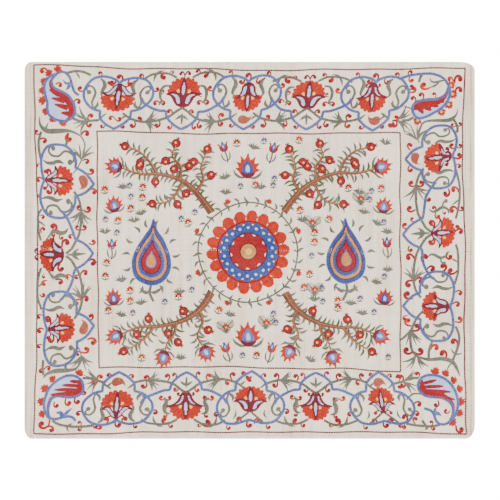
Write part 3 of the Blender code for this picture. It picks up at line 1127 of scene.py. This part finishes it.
cornerGreens = (
    # branches and leaves: points and widths, in mm on the cloth
    ([(-504, 320), (-500, 300), (-484, 287), (-460, 286), (-436, 287), (-420, 283), (-404.6, 273),
      (-396.7, 255), (-398.7, 231), (-402.6, 217), (-410.6, 197), (-420.5, 183)],
     [2, 7, 12, 13, 11, 6, 4, 3.6, 3.6, 3.6, 3.6, 3]),
    ([(-482, 306), (-485, 298), (-490, 288)], [2, 5, 6]),
    ([(-414, 426), (-409, 418), (-406, 411)], [3, 6, 2]),
    ([(497, 341), (496, 330), (488, 318), (475, 312), (449, 311.5), (430, 311), (417, 306),
      (409, 293), (404, 276), (406.5, 259)], [1.5, 5, 11, 8.5, 7.5, 6, 5, 4, 3.6, 3]),
    ([(469, 406), (457, 404), (445, 401), (436, 403), (432, 410)], [2, 5, 6, 5, 2.4]),
    ([(453, 400), (444, 393), (431, 388)], [3, 6, 2]),
    ([(-494.2, -303.6), (-484.2, -293.6), (-464.3, -288.6), (-440.4, -288.6), (-420.5, -285.7),
      (-410.6, -277.7), (-402.6, -263.8), (-403.6, -251.8), (-407.6, -237.9), (-414.6, -224)],
     [3, 9, 12, 12, 10, 6, 4.4, 3.6, 3.6, 3]),
    ([(-438, -421), (-436, -427), (-433, -434)], [3, 5, 2]),
    ([(-435, -420), (-429, -418), (-425, -415)], [3, 5, 2]),
    ([(398.6, -251.8), (426.4, -259.8), (460.3, -259.8), (484.1, -267.7), (496, -283.7),
      (504, -303.6)], [4.4, 8, 9.4, 11, 9, 2]),
    ([(484, -270), (478, -277), (472.5, -287)], [4, 5, 2]),
    ([(492, -250), (486, -244), (482, -236)], [4, 5, 2]),
    ([(492, -250), (500, -249), (508, -247)], [4, 5, 2]),
    ([(430, -424), (426, -427), (422, -430)], [3.4, 7, 3]),
    ([(422, -346), (410, -344), (394, -344), (385, -350), (377, -358)], [3, 4.6, 5, 5, 4]),
    ([(371, 344), (380, 342), (389, 339)], [3, 4.4, 3]),
)
cornerStems = (
    [(-441, 424), (-417, 429), (-397, 427), (-379, 419)],
    [(-498, 285), (-504, 262), (-504, 240), (-501, 222)],
    [(-440, 253), (-438, 260), (-436, 268)],
    [(-426, 318), (-405, 311), (-386, 312), (-361, 313)],
    [(489, 314), (496, 302), (498.5, 292), (497, 283)],
    [(413, 419), (409, 413), (407, 403)],
    [(366, 310), (381, 312), (393, 319)],
    [(-494, -298), (-497, -281), (-496.5, -262)],
    [(-441.4, -286), (-442, -277), (-440, -270)],
    [(-400, -307), (-381, -308), (-362.5, -313), (-348, -317)],
    [(-472, -408), (-459, -416), (-439, -421), (-420, -423), (-394, -422), (-374, -418.5)],
    [(398.6, -252), (388.6, -238), (385.6, -218), (386.6, -196), (394.6, -172), (402.6, -158),
     (414.5, -146.4)],
    [(486, -264), (492, -248), (496, -238), (502, -218), (502, -200), (496, -182)],
    [(427.4, -256), (428.4, -238), (436.4, -218)],
    [(340, -321), (351.5, -318), (371, -314)],
    [(377.5, -308), (390.5, -305), (405, -305)],
    [(375, -417), (397, -421), (423, -422), (443, -421), (457, -417)],
    [(423, -420), (419, -415), (415, -409)],
)
cornerReds = (
    [(-478, -407), (-479, -415), (-481, -424)],
    [(-437, 266), (-435.5, 273), (-434, 281)],
)
cornerTufts = (
    # x, y, and the turn of the way that each fan opens
    (-390, 313, 88), (-403, 219, 0), (355, 311, -90), (403, 268, 12), (-362.5, -312, 90),
    (-402.6, -254, 180), (371, -314, -90), (399, -252, 178), (386, -192, 180),
)
# Red hooks as above, on the cloth's own x and y
cornerHooks = (
    (-485, 428, 60, 1.1), (-465, 396, -75, -0.85), (-423, 356, -60, -0.95), (-500, 281, 90, -0.8),
    (382, 419, 0, -0.8), (385, 417, 180, 0.85), (383, 381, -90, 1.05), (415, 362, 0, 0.9),
    (444, 366, 0, 0.65), (398, 356, 15, 0.85), (431, 388, 90, -1.25), (495.5, 300.5, 110, -0.75),
    (496, 300.5, -90, 0.75), (350, 311.5, 180, -1.1), (488, 404, 35, 0.9), (491, 402, -28, -1.3),
    (492, 378, -30, -1.1), (-407, -344, -100, 0.8), (-419, -353.5, 180, 1.0),
    (-442, -357.5, 190, 1.05), (-468, -364, 185, 0.85), (-405, -421, 0, 0.7), (-405, -422, 180, -0.7),
    (-372, -421, -110, 1.0), (-493, -283, 100, 0.8), (-493, -283, -60, -0.85),
    (-482, -422, 100, -1.3), (-482, -422, -110, -1.0), (406, -304, 0, 0.85), (451, -361, 180, -0.9),
    (480, -386, 110, -0.8), (394, -369, -70, -1.0), (397, -417, 20, -0.9), (437, -420, -20, 0.7),
    (437, -421, 200, 0.7), (496, -420, 205, 1.2), (375, -413, 0, 1.1), (371, -420, 110, -0.9),
    (360, -312, 0, 0.9), (364.5, -318, 180, -0.8),
)


def workCorners():
    plain = Spot()
    for spec in paisleys.values():
        paisley(spec)
    for points, widths in cornerGreens:
        satin(plain, points, widths, "green", 80)
    for points in cornerStems:
        vine(plain, points)
    for points in cornerReds:
        satin(plain, points, [4, 4.6, 4.6], "red", 84)
    for x, y, turn in cornerTufts:
        tuft(Spot(x, y, turn), 37, (16, 38, 56))
    hooks(plain, cornerHooks, stray=False)


# The two fine red-brown frames, with the waver of a line drawn by hand

frameLines = (
    [(-519, 445), (-452, 443.7), (-376, 439), (-297, 436.5), (-200, 435.6), (-60, 433.4),
     (85, 431.5), (230, 433.3), (372, 435.5), (517, 436)],
    [(517, 436), (517.5, 428), (513, 384), (511, 350), (510, 300), (510, 240), (513, 130),
     (515.5, 30), (515.5, -110), (515, -260), (517, -390), (520, -440)],
    [(520, -440), (445, -437.5), (373, -437), (230, -434.5), (85, -436.5), (-60, -435),
     (-130, -435), (-275, -437), (-420, -439.5), (-516.5, -441)],
    [(-516.5, -441), (-515.3, -392), (-513, -324), (-511.5, -265), (-511, -150), (-507.5, -50),
     (-508.5, 60), (-511.5, 190), (-513.5, 290), (-515, 366), (-517.5, 420), (-519, 445)],
    [(-367, 286), (-275, 283), (-130, 280.4), (-60, 279), (85, 280.4), (230, 281), (361, 281)],
    [(361, 281), (360, 140), (362, 80), (361, 0), (362.5, -60), (361, -150), (362, -291)],
    [(362, -291), (301, -288.5), (229, -284.3), (157, -283.5), (13, -281), (-130, -279),
     (-275, -280.5), (-359, -282)],
    [(-359, -282), (-361.5, -215), (-363, -155), (-365, -40), (-364.3, 60), (-364.5, 140),
     (-365.5, 205), (-367, 286)],
)


def workFrames():
    for line in frameLines:
        chain(Spot(), line, "frame", wide=4.2, level=0)


# The middle field: a generic garden of a rosette, trees, leaf-shaped flowers and small plants

def ringOf(spot, count, inner, outer, thread, level=0, first=0.0):
    # petals round a circle, each with a round outer end
    step = math.tau / count
    for k in range(count):
        middle = first + k * step
        halfIn = 0.94 * inner * math.sin(step / 2)
        halfOut = 0.84 * outer * math.sin(step / 2)
        long = outer - inner
        petal = twin([(-halfIn, 0), (-halfOut, long * 0.6), (-halfOut * 0.55, long * 0.93), (0, long)])
        foot = Spot(inner * math.sin(middle), inner * math.cos(middle), -math.degrees(middle),
                    inside=spot)
        fill(foot, petal, thread, 90, level, smooth=False)


def circleLine(radius, count=28):
    turns = np.linspace(0, math.tau, count, endpoint=False)
    return np.stack([radius * np.cos(turns), radius * np.sin(turns)], 1)


def rosette(spot):
    petals = 18
    ringOf(spot, petals, 66, 100, "vermilion", first=0.1)
    ringOf(spot, petals, 42, 72, "deepBlue", 1)
    ringOf(spot, petals // 2, 17, 45, "red", 2)
    fill(spot, circleLine(19, 18), "tan", 30, 3, smooth=False)
    disc(spot, 0, 0, 7, "yellow", 4)
    for radius, level in ((72, 2), (44, 3), (19, 4)):
        chain(spot, circleLine(radius), "maroon", level=level, closed=True)
    for k in range(petals):
        angle = math.tau * (k + 0.5) / petals
        across, up = math.cos(angle), math.sin(angle)
        petal = Spot(78 * across, 78 * up, math.degrees(angle) - 90, inside=spot)
        straight(petal, [(0, 0), (0, 7)], [(0, 8), (0, 15)], "red", 1.6, 1)
        disc(spot, 57 * across, 57 * up, 3.2, "paleBlue", 3)


def leafOn(spot, long=17, wide=6.5, thread="green"):
    satin(spot, [(0, 0), (long * 0.16, long * 0.35), (long * 0.1, long * 0.7), (-1, long)],
          [1.4, wide, wide * 0.8, 1.2], thread, 62)


def fruit(spot):
    # a round red fruit with a crown and a pale spot
    fill(spot, circleLine(9.4, 16), "red", 55, 1)
    chain(spot, circleLine(9.8, 16), "maroon", wide=2.2, level=2, closed=True)
    disc(spot, -2, 1, 2.4, "yellow", 3)
    straight(spot, [(0, 9), (0, 9), (0, 9)], [(-4.5, 15), (0, 16.5), (4.5, 15)], "red", 2.4, 1)


def fern(spot, long=34):
    # a curved midrib with close narrow leaflets on both sides
    path = [(0, 0), (2, long * 0.35), (0, long * 0.7), (-4, long)]
    line = evenLine(smoothLine(path), 3.4)
    chain(spot, path, "green", wide=2.2)
    out = normals(line)
    for side in (-1, 1):
        marks = np.linspace(0, 1, len(line))
        reach = (3 + 9 * np.sin(np.pi * np.clip(marks * 0.9 + 0.12, 0, 1)))[:, None]
        lean = np.gradient(line, axis=0) / 3.4 * reach * 0.62
        straight(spot, line, line + out * side * reach + lean, "green", 2.0)


def palmette(spot, heart="deepBlue"):
    # a fan of vermilion flames over a blue heart and a green cup
    for k in range(-3, 4):
        petal = Spot(0, 10, -27 * k, inside=spot)
        long = 36 - abs(k) * 3.5
        fill(petal, [(-2, 4), (-6.5, long * 0.55), (-2.5, long * 0.8), (0.6, long), (3, long * 0.78),
                     (6, long * 0.5), (2, 4)], "vermilion", 88)
    fill(spot, twin([(-9, 4), (-11, 16), (-6, 25), (0, 31)]), heart, 90, 1)
    fill(spot, twin([(-3.4, 9), (-4, 17), (0, 23)]), "paleBlue", 90, 2)
    fill(spot, [(-15, 6), (-9, -1), (0, -4), (9, -1), (15, 6), (8, 6.5), (0, 4), (-8, 6.5)], "maroon",
         4, 2)
    for side in bothSides(spot):
        satin(side, [(3, -3), (14, -3), (24, 3), (30, 12)], [2, 6, 6, 1.2], "green", 66)


def tulip(spot, petal="vermilion"):
    chain(spot, [(0, -34), (2, -18), (0, 0)], "green", 2, 1.9)
    for side in bothSides(spot):
        fill(side, [(0, -1), (8, 0), (13, 8), (13, 18), (17, 27), (9, 22), (5, 12), (0, 8)], petal, 80)
        satin(side, [(1, -30), (9, -24), (13, -12), (12, -2)], [2, 5.5, 5, 1.2], "green", 66)
    fill(spot, twin([(0, 4), (-5, 12), (-4, 22), (0, 30)]), "deepBlue", 90, 1)
    fill(spot, twin([(0, 9), (-2, 14), (0, 22)]), "paleBlue", 90, 2)


def buta(spot):
    # a tall leaf-shaped flower: bands of blue, tan and maroon round a red heart
    shape = np.array([(0, -58), (24, -50), (38, -26), (38, 4), (26, 34), (10, 56), (4, 78), (-3, 60),
                      (-16, 40), (-32, 12), (-38, -16), (-30, -44)], float)
    layers = ((1.0, "deepBlue"), (0.82, "tan"), (0.66, "deepBlue"), (0.50, "red"), (0.26, "tan"))
    for level, (share, thread) in enumerate(layers):
        layer = shape * share
        layer[:, 1] -= (1 - share) * 10
        fill(spot, layer, thread, 90 - 14 * level, level)
        chain(spot, layer, "maroon" if level % 2 else "blue", wide=2.3, level=level + 1, closed=True)
    leaves = 15
    for k in range(leaves):
        angle = math.tau * (k + 0.5) / leaves
        edge = (math.sin(angle) * 43, math.cos(angle) * 62 - 2)
        leafOn(Spot(*edge, -math.degrees(angle), k % 2 == 0, inside=spot), 17, 7)
    vine(spot, [(0, -58), (-2, -74), (6, -92)])
    for side in bothSides(spot):
        leafOn(Spot(-1, -72, -72, inside=side), 26, 9)


def branch(spot, path, widths, fruits, end):
    # a brown bough with leaves on both sides, fruit on short twigs and a flower at its end
    line = evenLine(smoothLine(path), 2.0)
    satin(spot, path, widths, "bark", 84, 1)
    chain(spot, np.asarray(path, float) + (1.5, 1.0), "tan", wide=2.2, level=2)
    out = normals(line)
    side = 1
    for n in range(3, len(line) - 2, 3):
        side = -side
        where = line[n] + out[n] * side * 2.0
        thread = "leaf" if rng.random() < 0.3 else "green"
        turn = facing(out[n] * side) + rng.normal(-26 * side, 12)
        leafOn(Spot(*where, turn, side < 0, inside=spot), rng.uniform(14, 23), 7, thread)
    for share, side in fruits:
        n = int(share * (len(line) - 1))
        tip = line[n] + out[n] * side * 19
        chain(spot, [line[n], (line[n] + tip) / 2 + 1.5, tip], "bark", wide=2.2)
        fruit(Spot(*tip, facing(out[n] * side), inside=spot))
    last = Spot(*line[-1], facing(line[-1] - line[-4]), inside=spot)
    if end == "fruit":
        fruit(Spot(0, 7, inside=last))
    else:
        palmette(Spot(0, 4, 0, False, 0.9, 0.9, inside=last), "blue")


def sprig(spot, thread="red"):
    # a small flower on a two-leaved stalk
    chain(spot, [(0, 0), (1, 8)], "green", wide=2.4)
    for side in bothSides(spot):
        satin(side, [(0, 0), (5, 3), (10, 5)], [1.4, 4, 1], "green")
    for lean in (-100, -60, -20, 20, 60, 100):
        petal = Spot(1, 11, lean, inside=spot)
        satin(petal, [(0, 1), (0, 5), (0, 9)], [2, 4.4, 2], thread, 88, 1)
    disc(spot, 1, 11, 2.2, "yellow", 2)


field = {
    "rosette": (-4, -4),
    "wreath": 119,
    "wreathLeaves": 32,
    "butas": ((-236, -16, False), (232, -12, True)),
    "butaSize": 1.16,
    "palmettes": (
        (-4, 178, 0, 1.2, "deepBlue"), (-4, -226, 0, 1.25, "blue"), (-322, 96, 10, 0.85, "blue"),
        (320, 92, -10, 0.85, "blue"), (-326, -128, 6, 0.85, "deepBlue"), (322, -128, -6, 0.85, "deepBlue"),
    ),
    "tulips": (
        (-60, 236, 14, 0.8, "red"), (54, 236, -14, 0.8, "red"), (-330, 4, 0, 0.8, "red"),
        (330, 8, 0, 0.8, "red"), (-56, -244, 16, 0.8, "vermilion"), (50, -244, -16, 0.8, "vermilion"),
    ),
    # boughs of the left half, mirrored for the right: path, fruits as share and side, and the end
    "upperBoughs": (
        ([(-92, 92), (-114, 122), (-140, 150), (-176, 172), (-218, 184), (-262, 184), (-306, 196)],
         ((0.30, 1), (0.52, -1), (0.68, 1), (0.84, -1)), "flower"),
        ([(-128, 138), (-112, 168), (-118, 200), (-104, 236)], ((0.4, -1), (0.7, 1)), "fruit"),
        ([(-168, 168), (-166, 200), (-184, 226), (-178, 250)], ((0.35, -1), (0.7, 1)), "fruit"),
        ([(-222, 184), (-238, 214), (-262, 236), (-292, 246)], ((0.5, 1),), "fruit"),
        ([(-160, 160), (-176, 132), (-196, 116), (-226, 112)], ((0.5, 1),), "fruit"),
    ),
    "lowerBoughs": (
        ([(-92, -102), (-112, -132), (-142, -158), (-180, -176), (-222, -184), (-266, -184),
          (-306, -200)], ((0.34, -1), (0.56, 1), (0.74, -1)), "flower"),
        ([(-122, -144), (-114, -172), (-124, -202), (-112, -228)], ((0.45, 1),), "flower"),
        ([(-176, -174), (-180, -200), (-196, -222), (-202, -240)], ((0.5, 1),), "flower"),
        ([(-230, -184), (-248, -206), (-272, -226), (-296, -240)], ((0.5, -1),), "fruit"),
    ),
    "boughWidths": [19, 15, 11.5, 9, 6.5, 4],
    "twigWidths": [8.5, 7, 5, 3],
    # small plants: half the grid that they are tried on, its step and its jitter, along and up,
    # then the room that one needs, the room that a fern needs, and how far out stitches count
    "gridHalf": (342, 262),
    "gridStep": (29, 27),
    "gridJitter": (8, 7),
    "clear": 16,
    "clearForFern": 30,
    "workedHalf": (372, 296),
}


def workField():
    middle = Spot(*field["rosette"])
    rosette(middle)
    # wreath of leaves and berries round the rosette
    radius = field["wreath"]
    chain(middle, circleLine(radius, 40), "green", 2, 2.0, closed=True)
    for k in range(field["wreathLeaves"]):
        angle = math.tau * k / field["wreathLeaves"]
        at = Spot(radius * math.cos(angle), radius * math.sin(angle), math.degrees(angle) - 90,
                  inside=middle)
        leafOn(Spot(0, 1, 36, k % 2 == 0, inside=at), 17, 7)
        leafOn(Spot(0, -1, 148, k % 2 == 1, inside=at), 11, 5, "leaf")
        if k % 4 == 2:
            blossom(Spot(0, 8, inside=at))
    for x, y, flip in field["butas"]:
        buta(Spot(x, y, 0, flip, field["butaSize"], field["butaSize"]))
    for x, y, turn, size, heart in field["palmettes"]:
        palmette(Spot(x, y, turn, False, size, size), heart)
    for x, y, turn, size, petal in field["tulips"]:
        tulip(Spot(x, y, turn, False, size, size), petal)
    for flip in (False, True):
        at = Spot(2 * field["rosette"][0] if flip else 0, 0, flip=flip)
        for boughs in (field["upperBoughs"], field["lowerBoughs"]):
            for number, (path, fruits, end) in enumerate(boughs):
                widths = field["twigWidths"] if number else field["boughWidths"]
                branch(at, path, widths, fruits, end)
    scatterSmall()


def scatterSmall():
    # ferns, tufts and sprigs wherever the ground is still open, on a jittered grid
    worked = np.vstack([rows[:, 0:2] for pages in book.values() for rows in pages])
    worked = worked[(np.abs(worked) < field["workedHalf"]).all(1)]
    halfX, halfY = field["gridHalf"]
    stepX, stepY = field["gridStep"]
    strayX, strayY = field["gridJitter"]
    free = []
    for y in np.arange(-halfY, halfY, stepY):
        for x in np.arange(-halfX, halfX + 2, stepX):
            spot = np.array([x + rng.uniform(-strayX, strayX), y + rng.uniform(-strayY, strayY)])
            room = np.min(np.hypot(*(worked - spot - (0, 5)).T))
            if room > field["clear"]:
                free.append((*spot, room))
    for number, (x, y, room) in enumerate(free):
        at = Spot(x, y, rng.normal(0, 10))
        if room > field["clearForFern"]:
            fern(Spot(0, -14, 26, inside=at))
            fern(Spot(0, -14, -26, True, inside=at))
            sprig(Spot(0, -10, inside=at), "vermilion")
        elif number % 3 == 0:
            sprig(at, "red" if number % 2 else "vermilion")
        elif number % 3 == 1:
            tuft(at, 15, (10, 42, 70))
        else:
            sprig(Spot(0, 0, 0, False, 0.8, 0.8, inside=at), "deepBlue")


# Plain sewing: the seam between the panels and the hems' small stitches

sewing = {
    "wide": 0.9,
    "seamPitch": 6.0,
    "seamIn": 4.0,           # where the sewing starts, from the side
    "seamWay": (2.6, 4.0),   # along and up, over the seam
    "seamHigh": 0.45,
    "hemPitch": 9.0,
    "hemLong": 4.2,
    "hemHigh": 0.4,
    "sideIn": 24.5,          # the side hems' line, from the edge, and where it starts
    "sideFrom": 24.0,
    "endIn": 10.0,
    "endFrom": 30.0,
}


def evenSteps(reach, pitch):
    return np.arange(-reach, reach, pitch)


def workSewing():
    half, end = cloth["halfWidth"], cloth["halfHeight"]
    x = evenSteps(half - sewing["seamIn"], sewing["seamPitch"])
    way = np.array(sewing["seamWay"])
    starts = np.stack([x, cloth["seamSlant"] * x], 1) - way / 2
    addStitches("cream", starts, starts + way, sewing["wide"], sewing["seamHigh"], 1, 0.5)
    x = evenSteps(half - sewing["endFrom"], sewing["hemPitch"])
    y = evenSteps(end - sewing["sideFrom"], sewing["hemPitch"])
    for sign in (-1, 1):
        side = np.full(len(y), sign * (half - sewing["sideIn"]))
        edge = np.full(len(x), sign * (end - sewing["endIn"]))
        for starts, way in (((side, y), (0.0, sewing["hemLong"])), ((x, edge), (sewing["hemLong"], 0.0))):
            starts = np.stack(starts, 1)
            addStitches("cream", starts, starts + way, sewing["wide"], sewing["hemHigh"], 0, 0.4)


def handWaver(points):
    # no line of a hand-drawn pattern is quite true
    x, y = points[:, 0], points[:, 1]
    shiftX = 1.1 * np.sin(x / 37 + y / 53 + 0.4) + 0.8 * np.sin(y / 19 - x / 71 + 2.0)
    shiftY = 1.1 * np.sin(y / 41 - x / 47 + 1.1) + 0.8 * np.sin(x / 21 + y / 83 + 0.7)
    return points + np.stack([shiftX, shiftY], 1)


# One stitch is a grain: a low roof with hipped ends, or, for the strands of a chain link, a slim
# spindle.
grains = (
    {
        "along": np.array([0.0, 0.0, 1.0, 1.0, 0.16, 0.84]),
        "across": np.array([0.5, -0.5, -0.5, 0.5, 0.0, 0.0]),
        "up": np.array([0.0, 0.0, 0.0, 0.0, 1.0, 1.0]),
        "threes": np.array([(0, 4, 1), (2, 5, 3)]),
        "fours": np.array([(1, 4, 5, 2), (3, 5, 4, 0), (0, 1, 2, 3)]),
    },
    {
        "along": np.array([0.0, 0.45, 0.45, 0.45, 1.0]),
        "across": np.array([0.0, 0.5, 0.0, -0.5, 0.0]),
        "up": np.array([0.1, 0.0, 1.0, 0.0, 0.1]),
        "threes": np.array([(0, 3, 2), (0, 2, 1), (0, 1, 3), (4, 2, 3), (4, 1, 2), (4, 3, 1)]),
        "fours": np.zeros((0, 4), int),
    },
)


def grainsOf(rows, grain, waver):
    # corners, faces and thread coordinates of these stitches, all made as one kind of grain
    starts, ends = rows[:, 0:2], rows[:, 2:4]
    if waver:
        starts, ends = handWaver(starts), handWaver(ends)
    width, height, level = rows[:, 4:7].T
    way = ends - starts
    length = np.maximum(np.linalg.norm(way, axis=1, keepdims=True), 1e-6)
    left = np.stack([-way[:, 1], way[:, 0]], 1) / length
    flat = (
        starts[:, None] + way[:, None] * grain["along"][None, :, None]
        + left[:, None] * (width[:, None] * grain["across"])[..., None]
    )
    x, y = flat[..., 0].ravel(), flat[..., 1].ravel()
    rise = height[:, None] * grain["up"] + (level * stitch["levelStep"])[:, None] - 0.12
    places = np.stack([x, y, faceHeight(x, y) + rise.ravel()], 1) * mm
    size, count = len(grain["along"]), len(rows)
    base = np.arange(count)[:, None] * size
    threes, fours = grain["threes"].ravel(), grain["fours"].ravel()
    corners = np.concatenate([threes + base, fours + base], 1)
    sides = np.tile([3] * len(grain["threes"]) + [4] * len(grain["fours"]), count)
    template = np.concatenate([threes, fours])
    across = np.broadcast_to(grain["across"][template] + 0.5, corners.shape)
    strand = np.stack([across, grain["along"][template] * length], 2)
    return places, corners.ravel(), sides, strand.reshape(-1, 2), np.repeat(rows[:, 7], size)


def makeThreadPiece(name, material, waver=True):
    rows = np.vstack(book[name])
    parts = [grainsOf(rows[rows[:, 8] == kind], grain, waver) for kind, grain in enumerate(grains)]
    places, corners, sides, strand, tone = [np.concatenate(lists) for lists in zip(*parts)]
    corners[len(parts[0][1]):] += len(parts[0][0])
    mesh = bpy.data.meshes.new("stitches_" + name)
    mesh.vertices.add(len(places))
    mesh.vertices.foreach_set("co", places.ravel())
    mesh.loops.add(len(corners))
    mesh.loops.foreach_set("vertex_index", corners.astype(np.int32))
    mesh.polygons.add(len(sides))
    mesh.polygons.foreach_set("loop_start", np.concatenate([[0], np.cumsum(sides)[:-1]]))
    mesh.update(calc_edges=True)
    mesh.shade_smooth()
    # how far across and along its stitch each corner lies, for the ply of the thread
    layer = mesh.uv_layers.new(name="thread")
    layer.data.foreach_set("uv", strand.ravel().astype(np.float32))
    shade = mesh.attributes.new("tone", "FLOAT", "POINT")
    shade.data.foreach_set("value", tone.astype(np.float32))
    mesh.materials.append(material)
    piece = bpy.data.objects.new("stitches_" + name, mesh)
    bpy.context.scene.collection.objects.link(piece)
    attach(piece, "root")
    return piece


# Floor, light and camera, straight above as in the photo

studio = {
    "floorWide": 12,
    "floorShades": ((0.3, colour(240, 240, 240)), (0.7, colour(244, 244, 244))),
    "floorGlow": 14.0,
    "glowColour": (1.0, 1.0, 1.0, 1.0),
    "sky": (1.0, 0.95, 0.88, 1.0),
    "skyStrength": 1.65,
    "sunColour": (1.0, 0.96, 0.9),
    "sunStrength": 4.2,
    "sunPlace": (-1.5, 1.5, 2.0),
    "sunTurn": (52, 0, 52),
    "sunSoftness": 16,
    "lens": 85.0,
    "sensor": 36.0,
    "pictureWidth": 1.199,     # metres of floor across the picture
    "centre": (0.0008, 0.0008),
    "clipEnd": 50,
}


def makeFloor():
    bpy.ops.object.select_all(action="DESELECT")
    bpy.ops.mesh.primitive_plane_add(size=studio["floorWide"])
    floor = bpy.context.object
    floor.name = "floor"
    material, shader, start, place = newMaterial("paleFloor", 0.9, 0.0)
    shade = shaded(noise(place, 3.0, 2.0), studio["floorShades"])
    connect(shade, shader.inputs["Base Color"])
    shader.inputs["Emission Color"].default_value = studio["glowColour"]
    shader.inputs["Emission Strength"].default_value = studio["floorGlow"]
    floor.data.materials.append(material)


def makeLight():
    world = bpy.data.worlds.new("softSky")
    bpy.context.scene.world = world
    world.use_nodes = True
    sky = world.node_tree.nodes["Background"].inputs
    sky["Color"].default_value = studio["sky"]
    sky["Strength"].default_value = studio["skyStrength"]
    bpy.ops.object.light_add(type="SUN", location=studio["sunPlace"])
    sun = bpy.context.object
    sun.name = "key"
    sun.data.energy = studio["sunStrength"]
    sun.data.color = studio["sunColour"]
    sun.data.angle = math.radians(studio["sunSoftness"])
    sun.rotation_euler = [math.radians(turn) for turn in studio["sunTurn"]]


def makeCamera():
    distance = studio["pictureWidth"] * studio["lens"] / studio["sensor"]
    bpy.ops.object.camera_add(location=(*studio["centre"], distance), rotation=(0, 0, 0))
    camera = bpy.context.object
    camera.data.lens = studio["lens"]
    camera.data.sensor_width = studio["sensor"]
    camera.data.clip_end = studio["clipEnd"]
    bpy.context.scene.camera = camera


makeFloor()
makeLight()
makeCamera()
print("stage ready")
groundSilk = clothMaterial()
panels = [makeClothPanel(end, groundSilk) for end in ("upper", "lower")]
print("cloth laid")
workFrames()
workBorder()
workCorners()
print("border worked")
workField()
print("field worked")
workSewing()
stitchPieces = []
for threadName, dyes in threads.items():
    silk = silkMaterial("silk_" + threadName, dyes)
    stitchPieces.append(makeThreadPiece(threadName, silk, waver=threadName != "cream"))
triangles = {piece.name: len(piece.data.loops) - 2 * len(piece.data.polygons)
             for piece in panels + stitchPieces}
print("stitches set:", triangles, "in all", sum(triangles.values()))
